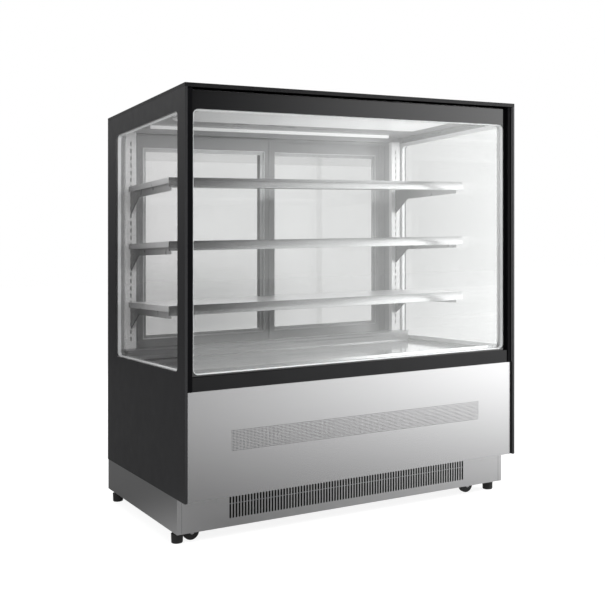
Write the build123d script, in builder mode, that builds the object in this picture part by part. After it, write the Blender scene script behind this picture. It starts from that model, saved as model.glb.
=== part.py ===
"""A refrigerated display case with glass sides and front, three shelves and sliding rear doors.

The origin is on the floor under the middle of the case. +X points to its right side as a customer
sees it, +Y points from the front glass to the rear doors, and +Z points up. All sizes are in mm.
"""
from build123d import *
import math
import os

# Overall size
overall_width = 1200
overall_depth = 746
overall_height = 1338

# Clearances
glass_clearance = 0.3
running_clearance = 0.05
part_clearance = 0.3

# Outer skin
cap_thickness = 12
cap_edge_radius = 1
cap_wall = 2
side_thickness = 8
side_bottom = 140
window_front_margin = 63
window_rear_clearance = 1
window_top_margin = 75
window_sill = 21
window_corner_radius = 14
seal_lip = 3

# Glazing
outer_glass = 5
inner_glass = 6
spacer_depth = 11
spacer_width = 14

# Front glass and its trim
front_recess = 18
border_side = 10
border_top = 56
border_bottom = 8
shadow_gap = 6
profile_recess = 5
profile_width = 16.7
band_recess = 8
band_height = 41.5
band_lip = 5
band_thickness = 3
ledge_thickness = 5

# Stainless front panel
panel_recess = 8
panel_side_gap = 2.7
sheet = 1.2
panel_return = 16

# Plinth
plinth_bottom = 36
plinth_front_recess = 67
plinth_side_recess = 2
plinth_fold = 14
grille_slot_width = 6
grille_slot_height = 66
grille_slot_pitch = 10
grille_slot_bottom = 60
grille_side_margin = 148

# Chassis
tube = 30
tube_wall = 2
castor_height = 72.5
castor_side_inset = 90
castor_end_inset = 57
foot_side_inset = 21
foot_front_inset = 118
foot_rear_inset = 51
post_side_inset = 12
pan_thickness = 1.5

# Castors
wheel_radius = 25
wheel_width = 18
wheel_tread_radius = 4
castor_trail = 24
axle_radius = 4
kingpin_radius = 5
castor_plate_size = 60
castor_plate_thickness = 2.5
crown_radius = 20
crown_thickness = 5
kingpin_head = 4
kingpin_head_radius = 8
fork_boss_radius = 8
cheek_top_half = 16
cheek_thickness = 2.5
cheek_gap = 1

# Levelling feet
foot_radius = 17
foot_top_radius = 18
foot_height = 28
foot_edge_radius = 3
foot_stem_radius = 5
foot_stem_top = 96

# Insulated tub under the deck
machine_clearance = 64
tub_height = 151
tub_front_inset = 24
tub_rear_inset = 4
tub_wall = 40
tub_floor = 32
tub_rear_wall = 102
drain_radius = 10

# Deck and rear air duct
deck_thickness = 2
deck_depth = 563
duct_height = 39
duct_slot_length = 36
duct_slot_width = 5
duct_slot_pitch = 48

# Ceiling
ceiling_thickness = 26
canopy_side_margin = 124
canopy_front_margin = 60
canopy_rear_margin = 316
canopy_thickness = 8

# Rear door frame
rear_frame_depth = 74
rear_post_width = 57
rear_sill_height = 17
rear_header_height = 20
track_ridge_width = 2.4
track_ridge_height = 10.7

# Sliding doors
door_thickness = 18
door_rail = 44
door_gap = 5
door_side_gap = 1
door_overlap = 54
door_plane_gap = 4
door_rear_inset = 16
door_groove_width = 5
door_groove_depth = 6
door_pane = 4
door_pane_inset = 2.5
pull_width = 16
pull_height = 120
pull_depth = 8

# Shelves
shelf_shares = (0.2466, 0.4944, 0.7385)
shelf_side_margin = 40
shelf_rear_gap = 14
shelf_depth = 395
shelf_sheet = 1.5
shelf_nose = 30
shelf_flange = 18
ticket_lean = 8
ticket_thickness = 2
lamp_depth = 10
lamp_height = 10
lamp_end_margin = 30
rear_lamp_side_margin = 112
rear_lamp_gap = 30
bracket_thickness = 3
bracket_arm_height = 39
bracket_rear_height = 91
bracket_knee = 85
bracket_front_setback = 12
hook_drops = (22, 70)
hook_depth = 9
hook_height = 11

# Slotted uprights
upright_width = 38
upright_depth = 18
upright_wall = 2
upright_side_margin = 34
upright_slot_width = 5
upright_slot_height = 14
upright_slot_pitch = 25
upright_bottom_gap = 34

# Refrigeration
evaporator_end_gap = 112
evaporator_depth = 300
evaporator_height = 80
evaporator_front_gap = 90
fin_thickness = 1
evaporator_fins = 37
evaporator_rows = 6
evaporator_levels = (1, 3)
coil_tube_radius = 5
evap_fan_radius = 46
evap_fan_spacing = 400
evap_fan_gap = 30
evap_blade_pitch = 35
motor_reach = 20
rotor_end_gap = 1
fan_hub_radius = 16
fan_shaft_radius = 3
fan_blades = 5
blade_fill = 0.9
blade_thickness = 2
fan_tip_gap = 3
housing_wall = 4
housing_depth = 22
condenser_width = 340
condenser_height = 190
condenser_depth = 50
condenser_side_inset = 100
condenser_front_inset = 100
condenser_fins = 29
condenser_rows = 2
condenser_levels = 7
condenser_fan_radius = 84
condenser_blade_pitch = 25
condenser_motor_reach = 45
shroud_depth = 30
shroud_wall = 2
shroud_rotor_gap = 4
compressor_centre = (60, 40)
compressor_radius = 72
compressor_height = 160
compressor_dome = 40
compressor_feet_height = 12
compressor_plate = 3
compressor_plate_size = (200, 120)
compressor_foot_inset = 15
compressor_foot_radius = 10
stub_inset = 30
stub_height = 30
stub_radius = 6
pipe_rise = 5
pipe_radius = 4
pipe_bend = 25
tray_length = 300
tray_depth = 260
tray_height = 45
tray_wall = 2
tray_side_inset = 120
tray_front_inset = 233

# Electrical pieces
box_width = 170
box_depth = 90
box_height = 180
box_side_inset = 75
box_bottom = 150
controller_width = 78
controller_height = 36
controller_body_width = 70
controller_body_height = 28
controller_body_depth = 60
controller_face = 3
controller_side_inset = 198
control_row = 290
switch_width = 13
switch_height = 20
switch_depth = 7
switch_side_insets = (120, 90)
switch_dip = 1
switch_pin_end_gap = 0.2
switch_bezel = 3
switch_pin_radius = 1.2
gland_radius = 11
gland_length = 16
gland_bore_radius = 4.2
gland_side_inset = 70
gland_centre_height = 160

# Places worked out from the sizes above
left = -overall_width / 2
right = overall_width / 2
front = -overall_depth / 2
back = overall_depth / 2
cap_bottom = overall_height - cap_thickness
ceiling_bottom = cap_bottom - ceiling_thickness
glass_front = front + front_recess
spacer_front = glass_front + outer_glass
inner_front = spacer_front + spacer_depth
chamber_front = inner_front + outer_glass + glass_clearance
side_inner = left + side_thickness
inner_pane_outer = side_inner + spacer_depth
chamber_left = inner_pane_outer + inner_glass
glass_top = cap_bottom - shadow_gap
tub_front = front + tub_front_inset
tub_back = back - tub_rear_inset
rear_frame_back = tub_back
rear_frame_front = rear_frame_back - rear_frame_depth
chassis_top = castor_height + tube
pan_top = chassis_top + pan_thickness
tub_bottom = pan_top + compressor_feet_height + compressor_height + machine_clearance
rim_height = tub_bottom + tub_height
band_top = rim_height + band_lip
band_bottom = band_top - band_height
window_bottom = rim_height + window_sill
window_rear_margin = tub_rear_inset + rear_frame_depth + spacer_width + window_rear_clearance
plinth_front_face = front + plinth_front_recess
castor_front = plinth_front_face + castor_end_inset
castor_rear = back - castor_end_inset
foot_front = front + foot_front_inset
foot_rear = back - foot_rear_inset
deck_top = rim_height + deck_thickness
deck_back = chamber_front + deck_depth
duct_top = rim_height + duct_height
upright_front = rear_frame_front - upright_depth
shelf_back = upright_front - shelf_rear_gap
shelf_front = shelf_back - shelf_depth
chamber_height = ceiling_bottom - deck_top
shelf_tops = [deck_top + round(share * chamber_height) for share in shelf_shares]
upright_centre = left + upright_side_margin + upright_width / 2
tray_centre = (left + tray_side_inset + tray_length / 2, front + tray_front_inset + tray_depth / 2)
condenser_centre = right - condenser_side_inset - condenser_width / 2
box_centre = right - box_side_inset - box_width / 2
controller_centre = right - controller_side_inset
switch_centres = [right - inset for inset in switch_side_insets]
corners = [(sx, sy) for sx in (-1, 1) for sy in (-1, 1)]


def block(x, y, z, mode=Mode.ADD):
    """Adds a plain block to the sub-part being made; each of x, y and z is a pair of limits."""
    with Locations(((x[0] + x[1]) / 2, (y[0] + y[1]) / 2, (z[0] + z[1]) / 2)):
        Box(x[1] - x[0], y[1] - y[0], z[1] - z[0], mode=mode)


def rod(centre, radius, z, mode=Mode.ADD):
    """Adds an upright cylinder at a centre (x, y) between two heights."""
    with Locations((centre[0], centre[1], (z[0] + z[1]) / 2)):
        Cylinder(radius, z[1] - z[0], mode=mode)


def rod_along_y(centre, radius, y, mode=Mode.ADD):
    """Adds a cylinder along Y at a centre (x, z) between two depths."""
    with Locations((centre[0], (y[0] + y[1]) / 2, centre[1])):
        Cylinder(radius, y[1] - y[0], rotation=(90, 0, 0), mode=mode)


def rod_along_x(centre, radius, x, mode=Mode.ADD):
    """Adds a cylinder along X at a centre (y, z) between two limits."""
    with Locations(((x[0] + x[1]) / 2, centre[0], centre[1])):
        Cylinder(radius, x[1] - x[0], rotation=(0, 90, 0), mode=mode)


def facing_front(y):
    """A sketch plane at depth y with sketch x along X and sketch y up; it faces the customer."""
    return Plane(origin=(0, y, 0), x_dir=(1, 0, 0), z_dir=(0, -1, 0))


def facing_right(x):
    """A sketch plane at x with sketch x along Y and sketch y up, growing towards +X."""
    return Plane(origin=(x, 0, 0), x_dir=(0, 1, 0), z_dir=(1, 0, 0))


def rounded(low, high, radius, mode=Mode.ADD):
    """Draws a rectangle with round corners between two corner points of the sketch."""
    with Locations(((low[0] + high[0]) / 2, (low[1] + high[1]) / 2)):
        RectangleRounded(high[0] - low[0], high[1] - low[1], radius, mode=mode)


def plain(low, high, mode=Mode.ADD):
    """Draws a plain rectangle between two corner points of the sketch."""
    with Locations(((low[0] + high[0]) / 2, (low[1] + high[1]) / 2)):
        Rectangle(high[0] - low[0], high[1] - low[1], mode=mode)


os.makedirs("parts", exist_ok=True)


def save(piece, label):
    """Labels a finished piece and writes it to its own file."""
    piece.label = label
    export_step(piece, "parts/" + label + ".step")


# Top cap
with BuildPart() as top_cap:
    block((left, right), (front, back), (cap_bottom, overall_height))
    fillet(top_cap.faces().sort_by(Axis.Z)[-1].edges(), cap_edge_radius)
    inside_x = (left + cap_wall, right - cap_wall)
    inside_y = (front + cap_wall, back - cap_wall)
    block(inside_x, inside_y, (cap_bottom, overall_height - cap_wall), Mode.SUBTRACT)
save(top_cap.part, "top_cap")

# Side frames: one black face from the cap down to the plinth, with a window in it
window_low = (front + window_front_margin, window_bottom)
window_high = (back - window_rear_margin, overall_height - window_top_margin)


def widened(low, high, by):
    """Moves both corners of a rectangle outwards by one distance."""
    return (low[0] - by, low[1] - by), (high[0] + by, high[1] + by)


lip_low, lip_high = widened(window_low, window_high, seal_lip)
lip_radius = window_corner_radius + seal_lip

for side_name, skin_x in (("left", left), ("right", right - side_thickness)):
    with BuildPart() as side_frame:
        with BuildSketch(facing_right(skin_x)):
            plain((front, side_bottom), (back, cap_bottom))
            rounded(lip_low, lip_high, lip_radius, Mode.SUBTRACT)
        extrude(amount=side_thickness)
    save(side_frame.part, side_name + "_side_frame")

# Outer panes of the side windows, flush with the frames
with BuildPart() as side_outer_panes:
    pane_low, pane_high = widened(lip_low, lip_high, -glass_clearance)
    with BuildSketch(facing_right(left + glass_clearance)):
        rounded(pane_low, pane_high, lip_radius - glass_clearance)
    extrude(amount=side_thickness - glass_clearance)
    mirror(about=Plane.YZ)
save(side_outer_panes.part, "side_outer_panes")

# Inner panes of the sides, standing on the tub's rim
side_pane_front = chamber_front
with BuildPart() as side_inner_panes:
    inner_pane_x = (inner_pane_outer, chamber_left)
    block(inner_pane_x, (side_pane_front, rear_frame_front), (rim_height, ceiling_bottom))
    mirror(about=Plane.YZ)
save(side_inner_panes.part, "side_inner_panes")

# Border and outer pane of the front glass
border_left = side_inner + profile_width + glass_clearance
border_low = (border_left, band_top)
border_high = (-border_left, glass_top)
front_window_low = (border_left + border_side, band_top + border_bottom)
front_window_high = (-border_left - border_side, glass_top - border_top)
front_lip_low, front_lip_high = widened(front_window_low, front_window_high, seal_lip)

with BuildPart() as front_glass_border:
    with BuildSketch(facing_front(glass_front)):
        plain(border_low, border_high)
        rounded(front_lip_low, front_lip_high, lip_radius, Mode.SUBTRACT)
    extrude(amount=-outer_glass)
save(front_glass_border.part, "front_glass_border")

with BuildPart() as front_outer_pane:
    pane_low, pane_high = widened(front_lip_low, front_lip_high, -glass_clearance)
    with BuildSketch(facing_front(glass_front)):
        rounded(pane_low, pane_high, lip_radius - glass_clearance)
    extrude(amount=-outer_glass)
save(front_outer_pane.part, "front_outer_pane")

with BuildPart() as front_inner_pane:
    inner_pane_y = (inner_front, inner_front + outer_glass)
    block((border_left, -border_left), inner_pane_y, (rim_height, ceiling_bottom))
save(front_inner_pane.part, "front_inner_pane")

# Spacer rings between the panes: one at each side window and one at the front
spacer_low, spacer_high = widened(window_low, window_high, spacer_width)
with BuildPart() as glass_spacers:
    with BuildSketch(facing_right(side_inner)):
        plain(spacer_low, spacer_high)
        rounded(window_low, window_high, window_corner_radius, Mode.SUBTRACT)
    extrude(amount=spacer_depth)
    mirror(about=Plane.YZ)
    with BuildSketch(facing_front(spacer_front)):
        plain(border_low, border_high)
        rounded(front_window_low, front_window_high, window_corner_radius, Mode.SUBTRACT)
    extrude(amount=-spacer_depth)
save(glass_spacers.part, "glass_spacers")

# Corner profiles that hold the front glass to the side frames
with BuildPart() as corner_profiles:
    profile_x = (side_inner, side_inner + profile_width)
    block(profile_x, (front + profile_recess, tub_front), (band_bottom, cap_bottom))
    upper_y = (front + profile_recess, chamber_front - glass_clearance)
    block(profile_x, upper_y, (rim_height, cap_bottom))
    mirror(about=Plane.YZ)
save(corner_profiles.part, "corner_profiles")

# Black band under the front glass, with the ledge that the glass stands on
with BuildPart() as front_band:
    band_x = (border_left, -border_left)
    band_front = front + band_recess
    block(band_x, (band_front, band_front + band_thickness), (band_bottom, band_top))
    block(band_x, (band_front, inner_front - glass_clearance), (band_top - ledge_thickness, band_top))
save(front_band.part, "front_band")

# Stainless front panel: a sheet with its sides and foot folded back
with BuildPart() as front_panel:
    panel_left = side_inner + panel_side_gap
    panel_front = front + panel_recess
    panel_x = (panel_left, -panel_left)
    panel_z = (side_bottom, band_bottom)
    return_y = (panel_front, panel_front + panel_return)
    block(panel_x, (panel_front, panel_front + sheet), panel_z)
    block((panel_left, panel_left + sheet), return_y, panel_z)
    block((-panel_left - sheet, -panel_left), return_y, panel_z)
    block(panel_x, (panel_front, plinth_front_face + sheet), (side_bottom, side_bottom + sheet))
save(front_panel.part, "front_panel")

# Plinth: grille panel, folded side panels and back panel
fold_left = left + plinth_side_recess + plinth_fold
grille_left = left + grille_side_margin + plinth_fold
slot_count = int((-2 * grille_left) // grille_slot_pitch)
with BuildPart() as plinth_front:
    with BuildSketch(facing_front(plinth_front_face)):
        plain((fold_left, plinth_bottom), (-fold_left, side_bottom))
        with Locations((0, grille_slot_bottom + grille_slot_height / 2)):
            with GridLocations(grille_slot_pitch, 1, slot_count, 1):
                SlotOverall(grille_slot_height, grille_slot_width, rotation=90, mode=Mode.SUBTRACT)
    extrude(amount=-sheet)
save(plinth_front.part, "plinth_front")

with BuildPart() as plinth_sides:
    plinth_left = left + plinth_side_recess
    plinth_z = (plinth_bottom, side_bottom)
    fold_y = (plinth_front_face, plinth_front_face + sheet)
    block((plinth_left, plinth_left + sheet), (plinth_front_face, back), plinth_z)
    block((plinth_left, fold_left), fold_y, plinth_z)
    mirror(about=Plane.YZ)
save(plinth_sides.part, "plinth_sides")

plinth_inner = left + plinth_side_recess + sheet
with BuildPart() as plinth_back:
    block((plinth_inner, -plinth_inner), (back - sheet, back), (plinth_bottom, side_bottom))
save(plinth_back.part, "plinth_back")

# Welded chassis: cross rails, long rails, posts and the top rails that carry the tub
post_left = left + post_side_inset
rail_end = left + plinth_side_recess + 2 * sheet
rail_centres = (castor_front, castor_rear)
castor_left = left + castor_side_inset


def square_tube(x, y, z, along):
    """Adds a square tube between limits; along says which way its bore runs."""
    block(x, y, z)
    limits = []
    for axis_name, pair in (("x", x), ("y", y), ("z", z)):
        wall = 0 if axis_name == along else tube_wall
        limits.append((pair[0] + wall, pair[1] - wall))
    block(*limits, mode=Mode.SUBTRACT)


def rail_span(centre):
    """The two limits of a rail about its centre."""
    return (centre - tube / 2, centre + tube / 2)


with BuildPart() as base_frame:
    rails_z = (castor_height, chassis_top)
    for rail_y in rail_centres:
        square_tube((rail_end, -rail_end), rail_span(rail_y), rails_z, "x")
    between_rails = (castor_front + tube / 2, castor_rear - tube / 2)
    for rail_x in (castor_left, -castor_left):
        square_tube(rail_span(rail_x), between_rails, rails_z, "y")
    for post_x in ((post_left, post_left + tube), (-post_left - tube, -post_left)):
        for rail_y in rail_centres:
            square_tube(post_x, rail_span(rail_y), (chassis_top, tub_bottom), "z")
        square_tube(post_x, between_rails, (tub_bottom - tube, tub_bottom), "y")
    stem_hole = foot_stem_radius + running_clearance
    stem_z = (castor_height, castor_height + tube / 2)
    for sx in (-1, 1):
        for foot_y in (foot_front, foot_rear):
            rod((sx * (right - foot_side_inset), foot_y), stem_hole, stem_z, Mode.SUBTRACT)
save(base_frame.part, "base_frame")

# Base pan on the chassis
with BuildPart() as base_pan:
    pan_y = (plinth_front_face + sheet, back - sheet)
    block((plinth_inner, -plinth_inner), pan_y, (chassis_top, pan_top))
    for post_x in ((post_left, post_left + tube), (-post_left - tube, -post_left)):
        for rail_y in rail_centres:
            block(post_x, rail_span(rail_y), (chassis_top, pan_top), Mode.SUBTRACT)
save(base_pan.part, "base_pan")

# Insulated tub with its drain
drain_centre = tray_centre
with BuildPart() as insulated_tub:
    block((side_inner, -side_inner), (tub_front, tub_back), (tub_bottom, rim_height))
    cavity_x = (side_inner + tub_wall, -side_inner - tub_wall)
    cavity_y = (tub_front + tub_wall, tub_back - tub_rear_wall)
    block(cavity_x, cavity_y, (tub_bottom + tub_floor, rim_height), Mode.SUBTRACT)
    rod(drain_centre, drain_radius, (tub_bottom, tub_bottom + tub_floor), Mode.SUBTRACT)
save(insulated_tub.part, "insulated_tub")

# Deck plate over the tub
with BuildPart() as deck_plate:
    deck_left = chamber_left + glass_clearance
    block((deck_left, -deck_left), (chamber_front, deck_back), (rim_height, deck_top))
save(deck_plate.part, "deck_plate")

# Rear air duct with its row of outlet slots
duct_slots = int((-2 * deck_left - duct_slot_pitch) // duct_slot_pitch)
with BuildPart() as air_duct_panel:
    block((deck_left, -deck_left), (deck_back, deck_back + shelf_sheet), (rim_height, duct_top))
    block((deck_left, -deck_left), (deck_back, rear_frame_front), (duct_top - shelf_sheet, duct_top))
    with BuildSketch(Plane.XY.offset(duct_top - shelf_sheet)):
        with Locations((0, (deck_back + rear_frame_front) / 2)):
            with GridLocations(duct_slot_pitch, 1, duct_slots, 1):
                SlotOverall(duct_slot_length, duct_slot_width)
    extrude(amount=shelf_sheet, mode=Mode.SUBTRACT)
save(air_duct_panel.part, "air_duct_panel")

# Ceiling
with BuildPart() as ceiling_panel:
    block((side_inner, -side_inner), (chamber_front, rear_frame_back), (ceiling_bottom, cap_bottom))
save(ceiling_panel.part, "ceiling_panel")

# Rear door frame with two tracks
doorway_left = side_inner + rear_post_width
sill_top = rim_height + rear_sill_height
header_bottom = ceiling_bottom - rear_header_height
outer_door_back = back - door_rear_inset
outer_door_front = outer_door_back - door_thickness
inner_door_back = outer_door_front - door_plane_gap
inner_door_front = inner_door_back - door_thickness
door_planes = (inner_door_front, outer_door_front)
with BuildPart() as rear_frame:
    with BuildSketch(facing_front(rear_frame_front)):
        plain((side_inner, rim_height), (-side_inner, ceiling_bottom))
        plain((doorway_left, sill_top), (-doorway_left, header_bottom), Mode.SUBTRACT)
    extrude(amount=-rear_frame_depth)
    for door_front in door_planes:
        track_centre = door_front + door_thickness / 2
        track_y = (track_centre - track_ridge_width / 2, track_centre + track_ridge_width / 2)
        block((doorway_left, -doorway_left), track_y, (sill_top, sill_top + track_ridge_height))
        block((doorway_left, -doorway_left), track_y, (header_bottom - track_ridge_height, header_bottom))
save(rear_frame.part, "rear_frame")

# Sliding doors, each a frame with a double pane
door_bottom = sill_top + door_gap
door_top = header_bottom - door_gap
door_outer_edge = doorway_left + door_side_gap
door_inner_edge = door_overlap / 2
door_spans = {
    "left": (door_outer_edge, door_inner_edge, inner_door_front),
    "right": (-door_inner_edge, -door_outer_edge, outer_door_front),
}
for side_name, (door_left, door_right, door_front) in door_spans.items():
    door_back = door_front + door_thickness
    door_middle = door_front + door_thickness / 2
    groove_y = (door_middle - door_groove_width / 2, door_middle + door_groove_width / 2)
    opening_low = (door_left + door_rail, door_bottom + door_rail)
    opening_high = (door_right - door_rail, door_top - door_rail)
    outer_stile = door_left if side_name == "left" else door_right - door_rail
    pull_x = outer_stile + (door_rail - pull_width) / 2
    pull_z = (door_bottom + door_top) / 2
    with BuildPart() as door_frame:
        with BuildSketch(facing_front(door_front)):
            plain((door_left, door_bottom), (door_right, door_top))
            plain(opening_low, opening_high, Mode.SUBTRACT)
        extrude(amount=-door_thickness)
        door_x = (door_left, door_right)
        for groove_low in (door_bottom, door_top - door_groove_depth):
            block(door_x, groove_y, (groove_low, groove_low + door_groove_depth), Mode.SUBTRACT)
        pull_z_limits = (pull_z - pull_height / 2, pull_z + pull_height / 2)
        pull_y = (door_back - pull_depth, door_back)
        block((pull_x, pull_x + pull_width), pull_y, pull_z_limits, Mode.SUBTRACT)
    save(door_frame.part, side_name + "_door_frame")
    with BuildPart() as door_glass:
        glass_low, glass_high = widened(opening_low, opening_high, -glass_clearance)
        for pane_front in (door_front + door_pane_inset, door_back - door_pane_inset - door_pane):
            pane_x = (glass_low[0], glass_high[0])
            block(pane_x, (pane_front, pane_front + door_pane), (glass_low[1], glass_high[1]))
    save(door_glass.part, side_name + "_door_glass")

# Slotted uprights in the rear corners
upright_bottom = duct_top + part_clearance
upright_top = header_bottom
slot_rows = int((upright_top - upright_bottom - upright_bottom_gap) // upright_slot_pitch)
slots_bottom = upright_bottom + upright_bottom_gap


def slot_height_near(height):
    """The centre height of the upright slot nearest to a height."""
    step = round((height - slots_bottom) / upright_slot_pitch)
    return slots_bottom + step * upright_slot_pitch


with BuildPart() as shelf_uprights:
    with BuildSketch(facing_front(upright_front)):
        upright_x = left + upright_side_margin
        plain((upright_x, upright_bottom), (upright_x + upright_width, upright_top))
        for row in range(slot_rows):
            with Locations((upright_centre, slots_bottom + row * upright_slot_pitch)):
                Rectangle(upright_slot_width, upright_slot_height, mode=Mode.SUBTRACT)
    extrude(amount=-upright_wall)
    leg_y = (upright_front, rear_frame_front)
    for leg_x in (upright_x, upright_x + upright_width - upright_wall):
        block((leg_x, leg_x + upright_wall), leg_y, (upright_bottom, upright_top))
    mirror(about=Plane.YZ)
save(shelf_uprights.part, "shelf_uprights")

# Shelves: plates, ticket strips and brackets
shelf_left = left + shelf_side_margin
bracket_x = upright_centre - bracket_thickness / 2

with BuildPart() as shelf_plates:
    for top in shelf_tops:
        shelf_x = (shelf_left, -shelf_left)
        block(shelf_x, (shelf_front, shelf_back), (top - shelf_sheet, top))
        block(shelf_x, (shelf_front, shelf_front + shelf_sheet), (top - shelf_nose, top))
        for flange_left in (shelf_left, -shelf_left - shelf_sheet):
            flange_x = (flange_left, flange_left + shelf_sheet)
            block(flange_x, (shelf_front, shelf_back), (top - shelf_flange, top))
save(shelf_plates.part, "shelf_plates")

with BuildPart() as ticket_strips:
    for top in shelf_tops:
        with BuildSketch(facing_right(shelf_left)):
            with BuildLine():
                Polyline(
                    (shelf_front, top),
                    (shelf_front, top - shelf_nose),
                    (shelf_front - ticket_lean, top - shelf_nose),
                    (shelf_front - ticket_thickness, top),
                    close=True,
                )
            make_face()
        extrude(amount=-2 * shelf_left)
save(ticket_strips.part, "ticket_strips")

with BuildPart() as shelf_brackets:
    arm_front = shelf_front + shelf_sheet + bracket_front_setback
    arm_back = upright_front - part_clearance
    for top in shelf_tops:
        under = top - shelf_sheet
        with BuildSketch(facing_right(bracket_x)):
            with BuildLine():
                Polyline(
                    (arm_front, under),
                    (arm_back, under),
                    (arm_back, under - bracket_rear_height),
                    (arm_back - bracket_knee, under - bracket_arm_height),
                    (arm_front, under - bracket_arm_height),
                    close=True,
                )
            make_face()
            for drop in hook_drops:
                hook_low = slot_height_near(under - drop) - hook_height / 2
                plain((arm_back, hook_low), (upright_front + hook_depth, hook_low + hook_height))
        extrude(amount=bracket_thickness)
    mirror(about=Plane.YZ)
save(shelf_brackets.part, "shelf_brackets")

# Lights: the panel and the rear bar under the ceiling, and a bar behind each shelf's nose
canopy_left = left + canopy_side_margin
canopy_y = (front + canopy_front_margin, back - canopy_rear_margin)
with BuildPart() as light_fittings:
    block((canopy_left, -canopy_left), canopy_y, (ceiling_bottom - canopy_thickness, ceiling_bottom))
    chamfer(light_fittings.faces().sort_by(Axis.Z)[0].edges(), canopy_thickness / 2)
    for top in shelf_tops:
        lamp_y = (shelf_front + shelf_sheet, shelf_front + shelf_sheet + lamp_depth)
        lamp_x = (upright_centre + lamp_end_margin, -upright_centre - lamp_end_margin)
        block(lamp_x, lamp_y, (top - shelf_sheet - lamp_height, top - shelf_sheet))
    rear_lamp_x = (left + rear_lamp_side_margin, right - rear_lamp_side_margin)
    rear_lamp_y = (upright_front - rear_lamp_gap - lamp_depth, upright_front - rear_lamp_gap)
    block(rear_lamp_x, rear_lamp_y, (ceiling_bottom - lamp_height, ceiling_bottom))
save(light_fittings.part, "light_fittings")


def fan_rotor(centre, tip_radius, y, blade_pitch):
    """Adds a fan rotor about an axis along Y, with a shaft bore, at a centre (x, z)."""
    middle = (y[0] + y[1]) / 2
    blade_length = tip_radius - fan_hub_radius / 2
    reach = (tip_radius + fan_hub_radius / 2) / 2
    pitch = math.radians(blade_pitch)
    blade_width = (blade_fill * (y[1] - y[0]) - blade_thickness) / math.sin(pitch)
    rod_along_y(centre, fan_hub_radius, y)
    for blade in range(fan_blades):
        turn = 2 * math.pi / fan_blades * blade
        outwards = Vector(math.cos(turn), 0, math.sin(turn))
        around = Vector(-math.sin(turn), 0, math.cos(turn))
        chord = around * math.cos(pitch) + Vector(0, 1, 0) * math.sin(pitch)
        blade_origin = Vector(centre[0], middle, centre[1]) + outwards * reach
        with Locations(Plane(origin=blade_origin, x_dir=outwards, z_dir=outwards.cross(chord))):
            Box(blade_length, blade_width, blade_thickness)
    rod_along_y(centre, fan_shaft_radius + running_clearance, (y[0], y[1]), Mode.SUBTRACT)


def fan_housing(centre, tip_radius, y, rotor_y, motor_y):
    """Adds a ring, three struts, a motor and its shaft about an axis along Y."""
    inner = tip_radius + fan_tip_gap
    outer = inner + housing_wall
    rod_along_y(centre, outer, y)
    rod_along_y(centre, inner, y, Mode.SUBTRACT)
    motor_middle = (motor_y[0] + motor_y[1]) / 2
    for strut in range(3):
        turn = math.radians(90 + 120 * strut)
        strut_plane = Plane(
            origin=(
                centre[0] + (inner + housing_wall / 2) / 2 * math.cos(turn),
                motor_middle,
                centre[1] + (inner + housing_wall / 2) / 2 * math.sin(turn),
            ),
            x_dir=(math.cos(turn), 0, math.sin(turn)),
            z_dir=(0, -1, 0),
        )
        with Locations(strut_plane):
            Box(inner + housing_wall / 2, housing_wall, motor_y[1] - motor_y[0])
    rod_along_y(centre, fan_hub_radius, motor_y)
    rod_along_y(centre, fan_shaft_radius, (rotor_y[0], motor_y[0]))


# Evaporator under the deck
evap_front = cavity_y[0] + evaporator_front_gap
evap_back = evap_front + evaporator_depth
evap_bottom = tub_bottom + tub_floor
evap_top = evap_bottom + evaporator_height
evap_half = -cavity_x[0] - evaporator_end_gap
with BuildPart() as evaporator_coil:
    evap_pitch = (2 * evap_half - fin_thickness) / (evaporator_fins - 1)
    with BuildSketch(facing_right(-evap_half)):
        plain((evap_front, evap_bottom), (evap_back, evap_top))
    extrude(amount=fin_thickness)
    for fin in range(1, evaporator_fins):
        fin_x = -evap_half + fin * evap_pitch
        block((fin_x, fin_x + fin_thickness), (evap_front, evap_back), (evap_bottom, evap_top))
    evap_tube_x = (-evap_half - coil_tube_radius, evap_half + coil_tube_radius)
    for row in range(evaporator_rows):
        for level in evaporator_levels:
            tube_y = evap_front + (row + 0.5) * evaporator_depth / evaporator_rows
            tube_z = evap_bottom + level * evaporator_height / 4
            rod_along_x((tube_y, tube_z), coil_tube_radius, evap_tube_x)
save(evaporator_coil.part, "evaporator_coil")

# Evaporator fans, between the coil and the rear duct
evap_fan_z = evap_bottom + evap_fan_radius + fan_tip_gap + housing_wall
evap_housing_y = (evap_back + evap_fan_gap, evap_back + evap_fan_gap + housing_depth)
evap_motor_y = (evap_housing_y[1] - housing_wall, evap_housing_y[1] + motor_reach)
evap_rotor_y = (evap_housing_y[0] + rotor_end_gap, evap_motor_y[0] - rotor_end_gap)
for side_name, fan_x in (("left", -evap_fan_spacing / 2), ("right", evap_fan_spacing / 2)):
    with BuildPart() as evaporator_fan:
        fan_rotor((fan_x, evap_fan_z), evap_fan_radius, evap_rotor_y, evap_blade_pitch)
    save(evaporator_fan.part, "evaporator_fan_" + side_name)

with BuildPart() as evaporator_fan_housings:
    for fan_x in (-evap_fan_spacing / 2, evap_fan_spacing / 2):
        fan_housing((fan_x, evap_fan_z), evap_fan_radius, evap_housing_y, evap_rotor_y, evap_motor_y)
save(evaporator_fan_housings.part, "evaporator_fan_housings")

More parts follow.
